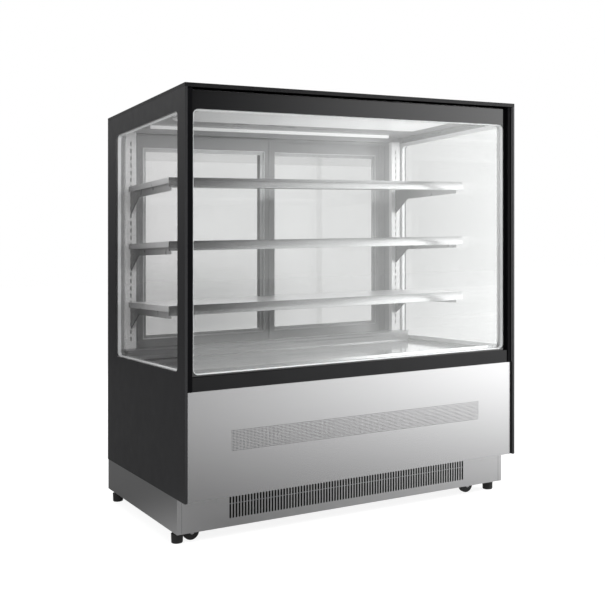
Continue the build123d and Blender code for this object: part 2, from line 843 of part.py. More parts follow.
# Condenser, its shroud and its fan
cond_front = front + condenser_front_inset
cond_back = cond_front + condenser_depth
cond_left = condenser_centre - condenser_width / 2
cond_right = condenser_centre + condenser_width / 2
cond_top = pan_top + condenser_height
with BuildPart() as condenser_coil:
    cond_pitch = (condenser_width - fin_thickness) / (condenser_fins - 1)
    for fin in range(condenser_fins):
        fin_x = cond_left + fin * cond_pitch
        block((fin_x, fin_x + fin_thickness), (cond_front, cond_back), (pan_top, cond_top))
    cond_tube_x = (cond_left - coil_tube_radius, cond_right + coil_tube_radius)
    for row in range(condenser_rows):
        for level in range(condenser_levels):
            tube_y = cond_front + (row + 0.5) * condenser_depth / condenser_rows
            tube_z = pan_top + (level + 0.5) * condenser_height / condenser_levels
            rod_along_x((tube_y, tube_z), coil_tube_radius, cond_tube_x)
save(condenser_coil.part, "condenser_coil")

cond_fan_centre = (condenser_centre, pan_top + condenser_height / 2)
shroud_y = (cond_back, cond_back + shroud_depth)
cond_motor_y = (shroud_y[1] - housing_wall, shroud_y[1] + condenser_motor_reach)
cond_rotor_y = (shroud_y[0] + shroud_rotor_gap, cond_motor_y[0] - rotor_end_gap)
shroud_wall_y = (shroud_y[0], shroud_y[0] + shroud_wall)
with BuildPart() as condenser_shroud:
    block((cond_left, cond_right), shroud_wall_y, (pan_top, cond_top))
    ring_inner = condenser_fan_radius + fan_tip_gap
    fan_housing(cond_fan_centre, condenser_fan_radius, shroud_y, cond_rotor_y, cond_motor_y)
    rod_along_y(cond_fan_centre, ring_inner, shroud_wall_y, Mode.SUBTRACT)
save(condenser_shroud.part, "condenser_shroud")

with BuildPart() as condenser_fan:
    fan_rotor(cond_fan_centre, condenser_fan_radius, cond_rotor_y, condenser_blade_pitch)
save(condenser_fan.part, "condenser_fan")

# Compressor on its mounting plate, with two pipe stubs
comp_x, comp_y = compressor_centre
comp_plate_top = pan_top + compressor_feet_height
comp_half_x = compressor_plate_size[0] / 2
comp_half_y = compressor_plate_size[1] / 2
comp_plate_z = (comp_plate_top - compressor_plate, comp_plate_top)
stub_z = comp_plate_top + compressor_height - compressor_dome / 2
stub_top = stub_z + stub_height
stub_offset = compressor_radius - stub_inset
with BuildPart() as compressor:
    comp_plate_y = (comp_y - comp_half_y, comp_y + comp_half_y)
    block((comp_x - comp_half_x, comp_x + comp_half_x), comp_plate_y, comp_plate_z)
    for sx, sy in corners:
        pad_x = comp_x + sx * (comp_half_x - compressor_foot_inset)
        pad_y = comp_y + sy * (comp_half_y - compressor_foot_inset)
        rod((pad_x, pad_y), compressor_foot_radius, (pan_top, comp_plate_z[0]))
    rod(compressor_centre, compressor_radius, (comp_plate_top, comp_plate_top + compressor_height))
    fillet(compressor.faces().sort_by(Axis.Z)[-1].edges(), compressor_dome)
    for sx in (-1, 1):
        rod((comp_x + sx * stub_offset, comp_y), stub_radius, (stub_z, stub_top))
save(compressor.part, "compressor")

# Refrigerant pipes: one to the condenser, one up to the tub
with BuildPart() as refrigerant_pipes:
    pipe_low = stub_top + pipe_bend + pipe_rise
    hot_x = comp_x + stub_offset
    cold_x = comp_x - stub_offset
    pipe_down_y = cond_back - condenser_depth / 4
    with BuildLine() as cold_line:
        Line((cold_x, comp_y, stub_top), (cold_x, comp_y, tub_bottom))
    with BuildSketch(Plane.XY.offset(stub_top)):
        with Locations((cold_x, comp_y)):
            Circle(pipe_radius)
    sweep(path=cold_line.line)
    with BuildLine() as hot_line:
        FilletPolyline(
            (hot_x, comp_y, stub_top),
            (hot_x, comp_y, pipe_low),
            (condenser_centre, comp_y, pipe_low),
            (condenser_centre, pipe_down_y, pipe_low),
            (condenser_centre, pipe_down_y, cond_top),
            radius=pipe_bend / 2,
        )
    with BuildSketch(Plane.XY.offset(stub_top)):
        with Locations((hot_x, comp_y)):
            Circle(pipe_radius)
    sweep(path=hot_line.line)
save(refrigerant_pipes.part, "refrigerant_pipes")

# Condensate tray under the drain
tray_x = (tray_centre[0] - tray_length / 2, tray_centre[0] + tray_length / 2)
tray_y = (tray_centre[1] - tray_depth / 2, tray_centre[1] + tray_depth / 2)
with BuildPart() as condensate_tray:
    block(tray_x, tray_y, (pan_top, pan_top + tray_height))
    tray_inside_x = (tray_x[0] + tray_wall, tray_x[1] - tray_wall)
    tray_inside_y = (tray_y[0] + tray_wall, tray_y[1] - tray_wall)
    block(tray_inside_x, tray_inside_y, (pan_top + tray_wall, pan_top + tray_height), Mode.SUBTRACT)
save(condensate_tray.part, "condensate_tray")

# Rear access panel with places for the controller, the two switches and the cable gland
rear_panel_y = (tub_back - shelf_sheet, tub_back)
gland_x = left + gland_side_inset
with BuildPart() as rear_access_panel:
    block((side_inner, -side_inner), rear_panel_y, (pan_top, tub_bottom))
    for switch_x in switch_centres:
        bezel_half_x = switch_width / 2 + part_clearance + switch_bezel
        bezel_half_z = switch_height / 2 + part_clearance + switch_bezel
        bezel_y = (tub_back - switch_depth - shelf_sheet, tub_back + shelf_sheet)
        hole_half_x = switch_width / 2 + part_clearance
        hole_half_z = switch_height / 2 + part_clearance
        switch_z = (control_row - bezel_half_z, control_row + bezel_half_z)
        block((switch_x - bezel_half_x, switch_x + bezel_half_x), bezel_y, switch_z)
        hole_z = (control_row - hole_half_z, control_row + hole_half_z)
        block((switch_x - hole_half_x, switch_x + hole_half_x), bezel_y, hole_z, Mode.SUBTRACT)
        pin_hole_reach = hole_half_x + switch_bezel / 2
        pin_hole_x = (switch_x - pin_hole_reach, switch_x + pin_hole_reach)
        pin_centre = (tub_back - switch_depth / 2, control_row)
        rod_along_x(pin_centre, switch_pin_radius + running_clearance, pin_hole_x, Mode.SUBTRACT)
    cut_x = (controller_centre - controller_body_width / 2, controller_centre + controller_body_width / 2)
    cut_z = (control_row - controller_body_height / 2, control_row + controller_body_height / 2)
    block(cut_x, rear_panel_y, cut_z, Mode.SUBTRACT)
    rod_along_y((gland_x, gland_centre_height), gland_bore_radius, rear_panel_y, Mode.SUBTRACT)
save(rear_access_panel.part, "rear_access_panel")

with BuildPart() as temperature_controller:
    face_x = (controller_centre - controller_width / 2, controller_centre + controller_width / 2)
    face_z = (control_row - controller_height / 2, control_row + controller_height / 2)
    body_y = (tub_back - controller_body_depth, tub_back)
    block(face_x, (tub_back, tub_back + controller_face), face_z)
    block(cut_x, body_y, cut_z)
save(temperature_controller.part, "temperature_controller")

for switch_name, switch_x in zip(("power_switch", "light_switch"), switch_centres):
    pivot = (tub_back - switch_depth / 2, control_row)
    with BuildPart() as rocker:
        with BuildSketch(facing_right(switch_x - switch_width / 2)):
            with BuildLine():
                Polyline(
                    (pivot[0] - switch_depth / 2, control_row - switch_height / 4),
                    (pivot[0] - switch_depth / 2, control_row + switch_height / 4),
                    (pivot[0] + switch_depth / 2, control_row + switch_height / 2 - switch_dip),
                    (pivot[0] + switch_depth / 2 - switch_dip, control_row),
                    (pivot[0] + switch_depth / 2, control_row - switch_height / 2 + switch_dip),
                    close=True,
                )
            make_face()
        extrude(amount=switch_width)
        pin_reach = switch_width / 2 + part_clearance + switch_bezel / 2 - switch_pin_end_gap
        rod_along_x(pivot, switch_pin_radius, (switch_x - pin_reach, switch_x + pin_reach))
    save(rocker.part, switch_name)

# Control box behind the switches, open towards the front
with BuildPart() as control_box:
    box_x = (box_centre - box_width / 2, box_centre + box_width / 2)
    box_y = (rear_panel_y[0] - box_depth, rear_panel_y[0])
    box_z = (box_bottom, box_bottom + box_height)
    block(box_x, box_y, box_z)
    hollow_x = (box_x[0] + shelf_sheet, box_x[1] - shelf_sheet)
    hollow_z = (box_z[0] + shelf_sheet, box_z[1] - shelf_sheet)
    block(hollow_x, (box_y[0] + shelf_sheet, box_y[1]), hollow_z, Mode.SUBTRACT)
save(control_box.part, "control_box")

# Cable gland in the rear panel
with BuildPart() as cable_gland:
    gland_place = (gland_x, gland_centre_height)
    gland_outer_y = (tub_back, tub_back + tub_rear_inset)
    gland_inner_y = (rear_panel_y[0] - gland_length, rear_panel_y[0])
    rod_along_y(gland_place, gland_radius, gland_outer_y)
    rod_along_y(gland_place, gland_radius, gland_inner_y)
    rod_along_y(gland_place, gland_bore_radius, (gland_inner_y[0], gland_outer_y[1]), Mode.SUBTRACT)
save(cable_gland.part, "cable_gland")

# Castors: fixed plates with kingpins, swivelling forks and wheels
plate_bottom = castor_height - castor_plate_thickness
crown_top = plate_bottom - part_clearance
crown_bottom = crown_top - crown_thickness
castor_places = {
    "front_left": (castor_left, castor_front),
    "front_right": (-castor_left, castor_front),
    "rear_left": (castor_left, castor_rear),
    "rear_right": (-castor_left, castor_rear),
}
with BuildPart() as castor_plates:
    for centre in castor_places.values():
        plate_x = (centre[0] - castor_plate_size / 2, centre[0] + castor_plate_size / 2)
        plate_y = (centre[1] - castor_plate_size / 2, centre[1] + castor_plate_size / 2)
        block(plate_x, plate_y, (plate_bottom, castor_height))
        head_z = (crown_bottom - part_clearance - kingpin_head, crown_bottom - part_clearance)
        rod(centre, kingpin_radius, (head_z[0], plate_bottom))
        rod(centre, kingpin_head_radius, head_z)
save(castor_plates.part, "castor_plates")

cheek_inside = wheel_width / 2 + cheek_gap
cheek_outside = cheek_inside + cheek_thickness
for place, centre in castor_places.items():
    axle_x = centre[0] - castor_trail
    with BuildPart() as castor_fork:
        rod(centre, crown_radius, (crown_bottom, crown_top))
        for sy in (-1, 1):
            cheek_y = min(centre[1] + sy * cheek_inside, centre[1] + sy * cheek_outside)
            with BuildSketch(facing_front(cheek_y + cheek_thickness)):
                with BuildLine():
                    Polyline(
                        (axle_x - fork_boss_radius, wheel_radius - axle_radius),
                        (axle_x + fork_boss_radius, wheel_radius - axle_radius),
                        (centre[0] + cheek_top_half, crown_bottom),
                        (centre[0] - cheek_top_half, crown_bottom),
                        close=True,
                    )
                make_face()
                with Locations((axle_x, wheel_radius)):
                    Circle(fork_boss_radius)
            extrude(amount=cheek_thickness)
        axle_y = (centre[1] - cheek_inside, centre[1] + cheek_inside)
        rod_along_y((axle_x, wheel_radius), axle_radius, axle_y)
        rod(centre, kingpin_radius + running_clearance, (crown_bottom, crown_top), Mode.SUBTRACT)
    save(castor_fork.part, "castor_fork_" + place)
    with BuildPart() as castor_wheel:
        wheel_y = (centre[1] - wheel_width / 2, centre[1] + wheel_width / 2)
        rod_along_y((axle_x, wheel_radius), wheel_radius, wheel_y)
        fillet(castor_wheel.edges().filter_by(GeomType.CIRCLE), wheel_tread_radius)
        rod_along_y((axle_x, wheel_radius), axle_radius + running_clearance, wheel_y, Mode.SUBTRACT)
    save(castor_wheel.part, "castor_wheel_" + place)

# Levelling feet at the corners
for place_y, foot_y in (("front", foot_front), ("rear", foot_rear)):
    for place_x, sx in (("left", -1), ("right", 1)):
        foot_x = sx * (right - foot_side_inset)
        with BuildPart() as foot:
            with BuildSketch(Plane.XY):
                with Locations((foot_x, foot_y)):
                    Circle(foot_radius)
            with BuildSketch(Plane.XY.offset(foot_height)):
                with Locations((foot_x, foot_y)):
                    Circle(foot_top_radius)
            loft()
            fillet(foot.faces().sort_by(Axis.Z)[0].edges(), foot_edge_radius)
            rod((foot_x, foot_y), foot_stem_radius, (foot_height, foot_stem_top))
        save(foot.part, "foot_" + place_y + "_" + place_x)
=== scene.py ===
"""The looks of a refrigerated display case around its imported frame, in metres, in the row frame."""
import math

import bmesh
import bpy
from mathutils import Matrix, Vector


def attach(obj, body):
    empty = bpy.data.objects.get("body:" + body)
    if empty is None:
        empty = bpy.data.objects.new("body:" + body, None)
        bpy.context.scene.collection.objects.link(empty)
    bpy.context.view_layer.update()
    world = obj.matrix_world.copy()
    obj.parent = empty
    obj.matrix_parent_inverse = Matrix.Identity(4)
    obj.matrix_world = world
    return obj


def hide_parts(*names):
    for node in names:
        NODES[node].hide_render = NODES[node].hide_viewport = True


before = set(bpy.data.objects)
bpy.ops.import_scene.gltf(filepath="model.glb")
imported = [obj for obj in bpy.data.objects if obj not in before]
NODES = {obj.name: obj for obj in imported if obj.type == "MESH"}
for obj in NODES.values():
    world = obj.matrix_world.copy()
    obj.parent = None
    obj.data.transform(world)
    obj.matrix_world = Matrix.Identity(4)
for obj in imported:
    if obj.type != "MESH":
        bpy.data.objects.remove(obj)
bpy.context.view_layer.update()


# Node graphs. A ramp is (low, high, new low, new high), in the order that Graph.spread takes them

REFRACTION = 1.5
BEVEL_SAMPLES = 4
ROUGH_CLOUD = (0.25, 0.75)
ROUGH_SHIFT, GRAIN_SHIFT = 3.1, 7.7
LEAST_ROUGH = 0.02


class Graph:
    """The nodes of a material or a world. add() makes a node and returns it."""

    def __init__(self, owner, keep=False):
        owner.use_nodes = True
        self.tree = owner.node_tree
        if not keep:
            self.tree.nodes.clear()

    def add(self, kind, inputs=None, **settings):
        node = self.tree.nodes.new(kind)
        for key, value in settings.items():
            setattr(node, key, value)
        for key, value in (inputs or {}).items():
            socket = node.inputs[key]
            if isinstance(value, bpy.types.NodeSocket):
                self.tree.links.new(value, socket)
            elif isinstance(value, bpy.types.Node):
                self.tree.links.new(value.outputs[0], socket)
            else:
                socket.default_value = value
        return node

    def math(self, operation, a, b=0.0, clamp=False):
        return self.add("ShaderNodeMath", {0: a, 1: b}, operation=operation, use_clamp=clamp).outputs[0]

    def times(self, a, b):
        return self.math("MULTIPLY", a, b)

    def remainder(self, share):
        """What a share leaves of 1."""
        return self.math("SUBTRACT", 1.0, share)

    def total(self, *values):
        """The sum of several values."""
        whole = values[0]
        for value in values[1:]:
            whole = self.math("ADD", whole, value)
        return whole

    def spread(self, value, low, high, new_low, new_high, smooth=False):
        """A value's span from low to high carried to a new span, and held at its ends."""
        kind = "SMOOTHSTEP" if smooth else "LINEAR"
        inputs = {"Value": value, "From Min": low, "From Max": high, "To Min": new_low, "To Max": new_high}
        return self.add("ShaderNodeMapRange", inputs, interpolation_type=kind).outputs[0]

    def blend(self, factor, a, b):
        """Colour a at factor 0 and colour b at factor 1."""
        return self.add("ShaderNodeMix", {0: factor, 6: a, 7: b}, data_type="RGBA").outputs[2]

    def toned(self, colours, level):
        """A colour times a level."""
        return self.add("ShaderNodeVectorMath", {0: colours, 3: level}, operation="SCALE").outputs[0]

    def axes(self, vector):
        """The x, y and z of a vector."""
        return self.add("ShaderNodeSeparateXYZ", {0: vector}).outputs[:]

    def object_point(self):
        return self.add("ShaderNodeTexCoord").outputs["Object"]

    def noise(self, scale, detail=2.0, stretch=(1, 1, 1), shift=0.0):
        inputs = {"Vector": self.object_point(), "Location": (shift, shift, shift), "Scale": stretch}
        place = self.add("ShaderNodeMapping", inputs)
        return self.add("ShaderNodeTexNoise", {"Vector": place, "Scale": scale, "Detail": detail}).outputs[0]


def new_material(name):
    """An empty material and its graph."""
    material = bpy.data.materials.new(name)
    return material, Graph(material)


def grey(value):
    return (value, value, value, 1)


def scaled(colour, by):
    return (min(colour[0] * by, 1), min(colour[1] * by, 1), min(colour[2] * by, 1), 1)


def surface(name, colour, rough, metallic=0.0, level=0.5, tint=0.06, tint_scale=5.0, stretch=(1, 1, 1),
            rough_spread=0.05, rough_scale=25.0, grain=0.1, grain_scale=900.0, grain_depth=0.0001,
            edge=0.0006, shift=0.0, painted_shade=None):
    """An opaque finish: uneven colour and roughness, a grain, and slightly rounded edges.

    tint and rough_spread say how far colour and roughness vary, and level is the specular level.
    The last argument is a painted shade, (axis, low, high, share): along that axis the colour falls to
    that share at the low end. The specular level of a finish with a painted shade is that shade itself.
    """
    material, graph = new_material(name)
    cloud = graph.noise(tint_scale, 3.0, stretch, shift)
    colours = graph.blend(cloud, scaled(colour, 1 - tint), scaled(colour, 1 + tint))
    # A painted shade: the colour falls along an axis, and the same ramp sets the specular level
    if painted_shade:
        axis, low, high, share = painted_shade
        level = graph.spread(graph.axes(graph.object_point())[axis], low, high, share, 1.0, smooth=True)
        colours = graph.toned(colours, level)
    rough_cloud = graph.noise(rough_scale, 2.0, stretch, shift + ROUGH_SHIFT)
    least, most = max(rough - rough_spread, LEAST_ROUGH), rough + rough_spread
    roughness = graph.spread(rough_cloud, *ROUGH_CLOUD, least, most)
    grain_cloud = graph.noise(grain_scale, 2.0, stretch, shift + GRAIN_SHIFT)
    rounded = graph.add("ShaderNodeBevel", {"Radius": edge}, samples=BEVEL_SAMPLES)
    bump = graph.add("ShaderNodeBump", {
        "Strength": grain, "Distance": grain_depth, "Height": grain_cloud, "Normal": rounded})
    shader = graph.add("ShaderNodeBsdfPrincipled", {
        "Base Color": colours, "Roughness": roughness, "Metallic": metallic, "Normal": bump,
        "Specular IOR Level": level, "IOR": REFRACTION})
    graph.add("ShaderNodeOutputMaterial", {"Surface": shader})
    return material


# The least light that clear glass lets through, the roughness of its smears and that of a plain pane
GLASS_CLOUD = 0.985
GLASS_SMEARS = (0.3, 0.8, 0.0, 0.02)
PANE_ROUGH = 0.01


def thin_glass(graph, passed, rough, shine=1.0):
    """Ends a graph in thin glass: clear, with a mirror that grows with the slant, on outer faces only."""
    see = graph.add("ShaderNodeBsdfTransparent", {"Color": passed})
    mirror = graph.add("ShaderNodeBsdfGlossy", {"Color": grey(1.0), "Roughness": rough})
    slant = graph.add("ShaderNodeFresnel", {"IOR": REFRACTION})
    share = graph.times(slant, graph.remainder(graph.add("ShaderNodeNewGeometry").outputs["Backfacing"]))
    if shine != 1.0:
        share = graph.math("MULTIPLY", share, shine, clamp=True)
    mixed = graph.add("ShaderNodeMixShader", {0: share, 1: see, 2: mirror})
    graph.add("ShaderNodeOutputMaterial", {"Surface": mixed})


def clear_glass(name, tint, shine=1.0):
    """Thin clear glass with faint smears. A shine over 1 is a coat that mirrors that much more."""
    material, graph = new_material(name)
    passed = graph.blend(graph.noise(3.0), scaled(tint, GLASS_CLOUD), scaled(tint, 1.0))
    smears = graph.spread(graph.noise(9.0, 3.0, shift=2.0), *GLASS_SMEARS)
    thin_glass(graph, passed, smears, shine)
    return material


# Materials

BLACK_PAINT = surface("black_paint", (0.018, 0.018, 0.0195), 0.36, level=0.42, tint=0.06, grain=0.2,
                      grain_scale=1400, grain_depth=0.00005, rough_spread=0.03)
CAP_PAINT = surface("cap_paint", (0.006, 0.006, 0.0065), 0.3, level=0.28, tint=0.08, grain=0.15,
                    grain_scale=1400, grain_depth=0.00005)
BLACK_GLASS = surface("black_printed_glass", (0.004, 0.004, 0.0045), 0.07, level=0.9, tint=0.1, grain=0.02,
                      rough_spread=0.02, edge=0.0008)
BLACK_BAND = surface("black_band", (0.003, 0.003, 0.0035), 0.14, level=0.27, tint=0.08, grain=0.05,
                     rough_spread=0.03)
BLACK_PROFILE = surface("black_profile", (0.003, 0.003, 0.0035), 0.4, level=0.04, tint=0.1,
                        stretch=(6, 6, 0.3), grain=0.15, grain_scale=500)
SPACER = surface("spacer_aluminium", (0.94, 0.945, 0.95), 0.36, metallic=0.15, tint=0.04, tint_scale=30,
                 stretch=(1, 1, 0.2), grain=0.08)
STEEL = surface("brushed_stainless", (0.62, 0.62, 0.625), 0.25, metallic=1.0, tint=0.012, tint_scale=90,
                stretch=(0.08, 1, 9), rough_spread=0.02, rough_scale=160, grain=0.06, grain_scale=700,
                grain_depth=0.00003)
# The noses' colour darkens towards the case's left end and the arms' towards its back, a painted shade
NOSE_STEEL = surface("shelf_nose_steel", (0.94, 0.94, 0.945), 0.2, metallic=0.95, tint=0.015, tint_scale=40,
                     stretch=(0.15, 1, 1), rough_spread=0.02, grain=0.04, painted_shade=(0, -0.8, 0.0, 0.3))
ARM_STEEL = surface("shelf_arm_steel", (0.72, 0.72, 0.725), 0.3, metallic=0.5, tint=0.03, tint_scale=20,
                    rough_spread=0.04, grain=0.1, painted_shade=(1, 0.22, -0.12, 0.15))
PLINTH_STEEL = surface("plinth_steel", (0.6, 0.6, 0.605), 0.34, metallic=1.0, tint=0.02, tint_scale=90,
                       stretch=(0.1, 0.1, 8), rough_spread=0.03, rough_scale=160, grain=0.08,
                       grain_scale=700, grain_depth=0.00003, shift=5.0)
DECK_STEEL = surface("deck_steel", (0.37, 0.37, 0.375), 0.1, metallic=0.95, tint=0.02, tint_scale=70,
                     stretch=(0.06, 4, 1), rough_spread=0.04, rough_scale=90, grain=0.04, grain_scale=500,
                     grain_depth=0.00002)
DUCT_STEEL = surface("duct_steel", (0.35, 0.35, 0.355), 0.28, metallic=0.5, tint=0.03, tint_scale=60,
                     stretch=(0.06, 1, 5), rough_spread=0.05, grain=0.08, grain_scale=400)
# The ceiling's colour darkens towards the case's left end, a painted shade
CEILING = surface("ceiling_sheet", (0.4, 0.4, 0.405), 0.3, metallic=0.3, tint=0.02, stretch=(0.2, 1, 1),
                  grain=0.08, grain_scale=500, painted_shade=(0, -0.6, 0.7, 0.62))
WHITE_PAINT = surface("white_paint", (0.9, 0.9, 0.9), 0.42, tint=0.015, grain=0.15, grain_scale=700,
                      grain_depth=0.00006)
# The aluminium frames' colour darkens towards the case's left end, a painted shade
ALUMINIUM = surface("aluminium_frame", (0.57, 0.57, 0.575), 0.34, metallic=0.35, tint=0.03, tint_scale=50,
                    stretch=(1, 1, 0.15), rough_spread=0.05, grain=0.1, grain_scale=500,
                    painted_shade=(0, 0.05, 0.5, 0.72))
LINER = surface("liner", (0.8, 0.8, 0.8), 0.5, tint=0.02, grain=0.15, grain_scale=500)
CHASSIS = surface("chassis_paint", (0.1, 0.1, 0.105), 0.45, metallic=0.3, tint=0.08, tint_scale=14,
                  rough_spread=0.08, grain=0.25, grain_scale=300)
GALVANISED = surface("galvanised_sheet", (0.52, 0.53, 0.54), 0.42, metallic=0.85, tint=0.1, tint_scale=45,
                     rough_spread=0.1, rough_scale=45, grain=0.15, grain_scale=200)
FIN_METAL = surface("fin_aluminium", (0.62, 0.62, 0.63), 0.35, metallic=0.9, tint=0.06, tint_scale=80,
                    grain=0.2, grain_scale=400)
FAN_PLASTIC = surface("fan_plastic", (0.03, 0.03, 0.031), 0.45, tint=0.1, grain=0.3, grain_scale=800)
DARK_METAL = surface("dark_metal", (0.022, 0.022, 0.024), 0.32, metallic=0.1, tint=0.12, tint_scale=18,
                     rough_spread=0.08, grain=0.3, grain_scale=260)
COPPER = surface("copper_pipe", (0.72, 0.36, 0.2), 0.28, metallic=1.0, tint=0.16, tint_scale=35,
                 rough_spread=0.1, grain=0.2, grain_scale=300)
TRAY = surface("tray_plastic", (0.6, 0.61, 0.62), 0.4, tint=0.03, grain=0.2, grain_scale=400)
BLACK_PLASTIC = surface("black_plastic", (0.02, 0.02, 0.02), 0.4, tint=0.1, grain=0.35, grain_scale=900)
GREY_PLASTIC = surface("grey_plastic", (0.16, 0.16, 0.165), 0.4, tint=0.06, grain=0.3, grain_scale=900)
# Finish of the filter mats and of the dark sheet of painted shade behind the perforated field
FILTER_AND_SHADE = surface("filter_and_shade_mat", (0.006, 0.006, 0.006), 0.9, level=0.1, tint=0.2, tint_scale=200, grain=0.8,
                 grain_scale=600, grain_depth=0.0004)
ZINC = surface("zinc_screw", (0.6, 0.6, 0.61), 0.3, metallic=1.0, tint=0.1, tint_scale=120, rough_spread=0.08,
               grain=0.2, grain_scale=900, edge=0.0002)
CASTOR_STEEL = surface("castor_steel", (0.03, 0.03, 0.03), 0.38, metallic=0.4, tint=0.15, tint_scale=40,
                       rough_spread=0.08, grain=0.25, grain_scale=300)
RUBBER = surface("rubber", (0.016, 0.016, 0.016), 0.62, tint=0.15, tint_scale=60, grain=0.5, grain_scale=700)
GLASS = clear_glass("clear_glass", (0.985, 0.99, 0.988, 1))
COATED_GLASS = clear_glass("coated_glass", (0.99, 0.99, 0.99, 1), 5.0)

# Light that the side glass lets through, by x, a painted shade towards the right end, and the depth of its
# clouds
SIDE_SHADE = (-0.5, 0.5, 0.985, 0.9)
SIDE_CLOUD = 0.01


def side_glass():
    """Side glass that lets less light through towards the case's right end, a painted shade."""
    material, graph = new_material("side_glass")
    across = graph.axes(graph.object_point())[0]
    cloud = graph.times(graph.noise(2.0), SIDE_CLOUD)
    passed = graph.math("ADD", graph.spread(across, *SIDE_SHADE), cloud)
    thin_glass(graph, graph.blend(passed, grey(0.0), grey(1.0)), PANE_ROUGH)
    return material


# Ramps of the door glass, from x or z to the light let through, or to a mask between 0 and 1
PASS_RIGHT = (0.1, 0.5, 1.0, 0.94)
PASS_HEAD = (1.186, 1.188, 1.0, 0.955)
FOOT_RISE = (0.95, 0.58, 0.0, 1.0)
FOOT_ACROSS = (0.3, -0.3, 0.15, 1.0)
PASS_FOOT = (0.0, 1.0, 1.0, 0.89)
STRIPE_LEFT = (0.2229, 0.2249, 0.0, 1.0)
STRIPE_RIGHT = (0.2500, 0.2480, 0.0, 1.0)
PASS_STRIPE = (0.0, 1.0, 1.0, 0.975)
PASS_CLOUD = (0.2, 0.8, 0.975, 0.995)


def door_glass():
    """Door glass that lets a little less light through to the right, at the head, at the lower left and in a
    stripe.
    """
    material, graph = new_material("door_glass")
    across, _, height = graph.axes(graph.object_point())
    right = graph.spread(across, *PASS_RIGHT)
    foot = graph.times(graph.spread(height, *FOOT_RISE, smooth=True), graph.spread(across, *FOOT_ACROSS))
    low_left = graph.spread(foot, *PASS_FOOT)
    head = graph.spread(height, *PASS_HEAD)
    stripe = graph.times(graph.spread(across, *STRIPE_LEFT), graph.spread(across, *STRIPE_RIGHT))
    stripe = graph.spread(stripe, *PASS_STRIPE)
    passing = graph.times(graph.times(right, low_left), graph.times(head, stripe))
    passing = graph.times(passing, graph.spread(graph.noise(2.0), *PASS_CLOUD))
    thin_glass(graph, graph.blend(passing, grey(0.0), grey(1.0)), PANE_ROUGH)
    return material


# The canopy's panel is above and in front of these places; the light of panel and bars grows with x,
# a painted highlight towards the case's right end on lamps that really glow
PANEL_ABOVE = (1.28, 1.285, 0.0, 1.0)
PANEL_IN_FRONT = (0.15, 0.1, 0.0, 1.0)
PANEL_LIGHT = (-0.5, 0.45, 0.12, 0.42)
BAR_LIGHT = (-0.5, 0.5, 0.42, 0.75)
OPAL_CLOUD = (0.2, 0.8, 0.96, 1.04)
OPAL_GREYS = (0.5, 0.53)
OPAL_ROUGH = 0.3


def lamp_diffuser():
    """The opal covers: a pale panel under the ceiling, bright bars at the rear and under the shelves.
    They glow more towards the case's right end, a painted highlight.
    """
    material, graph = new_material("lamp_diffuser")
    across, along, height = graph.axes(graph.object_point())
    cloud = graph.noise(12.0)
    panel = graph.times(graph.spread(height, *PANEL_ABOVE), graph.spread(along, *PANEL_IN_FRONT))
    panel_light = graph.spread(across, *PANEL_LIGHT, smooth=True)
    bar_light = graph.spread(across, *BAR_LIGHT, smooth=True)
    level = graph.total(graph.times(panel, panel_light), graph.times(graph.remainder(panel), bar_light))
    power = graph.times(level, graph.spread(cloud, *OPAL_CLOUD))
    shader = graph.add("ShaderNodeBsdfPrincipled", {
        "Base Color": graph.blend(cloud, grey(OPAL_GREYS[0]), grey(OPAL_GREYS[1])), "Roughness": OPAL_ROUGH,
        "Emission Color": grey(1.0), "Emission Strength": power})
    graph.add("ShaderNodeOutputMaterial", {"Surface": shader})
    return material


def retoned(material, level_of):
    """Multiplies a finish's colour by a painted shade that depends on the place and on where a face looks."""
    graph = Graph(material, keep=True)
    shader = next(node for node in graph.tree.nodes if node.type == "BSDF_PRINCIPLED")
    colours = shader.inputs["Base Color"].links[0].from_socket
    place = graph.axes(graph.object_point())
    facing = graph.axes(graph.add("ShaderNodeNewGeometry").outputs["Normal"])
    toned = graph.toned(colours, level_of(graph, place, facing))
    graph.tree.links.new(toned, shader.inputs["Base Color"])
    return material


# Ramps of the normal's z and of x, for how much a nose darkens with painted dark reflection
NOSE_SLOPE = (0.1, 0.5, 0.0, 1.0)
NOSE_DARK = (-0.5, 0.45, 0.62, 0.1)


def nose_level(graph, place, facing):
    """A painted dark reflection: darker on the strip's upper slope, most at the case's left end."""
    slope = graph.spread(facing[2], *NOSE_SLOPE)
    return graph.remainder(graph.times(slope, graph.spread(place[0], *NOSE_DARK)))


# Ramps of the shelves' painted shade: by the normal's x or z, then by y
FLANK_FACES = (-0.5, -0.9, 0.0, 1.0)
FLANK_DARK = (-0.05, 0.24, 0.0, 0.7)
UNDER_FACES = (-0.6, -0.2, 1.0, 0.0)
UNDER_LEVEL = (-0.1, 0.22, 0.66, 0.4)


def shelf_level(graph, place, facing):
    """Painted shade: greyer under the shelves, in each other's shade, and on faces that look left, most at
    the back.
    """
    flank = graph.times(graph.spread(facing[0], *FLANK_FACES), graph.spread(place[1], *FLANK_DARK))
    below = graph.spread(place[1], *UNDER_LEVEL)
    under = graph.spread(facing[2], *UNDER_FACES)
    return graph.math("SUBTRACT", graph.blend(under, grey(1.0), below), flank)


DOOR_GLASS = door_glass()
SIDE_GLASS = side_glass()
# The shelves carry a painted shade, and the noses a painted dark reflection
WHITE_SHELF = retoned(surface("white_shelf", (0.78, 0.78, 0.785), 0.32, metallic=0.15, tint=0.02, grain=0.12,
                              grain_scale=700, grain_depth=0.00006, shift=2.0), shelf_level)
retoned(NOSE_STEEL, nose_level)
LAMP = lamp_diffuser()

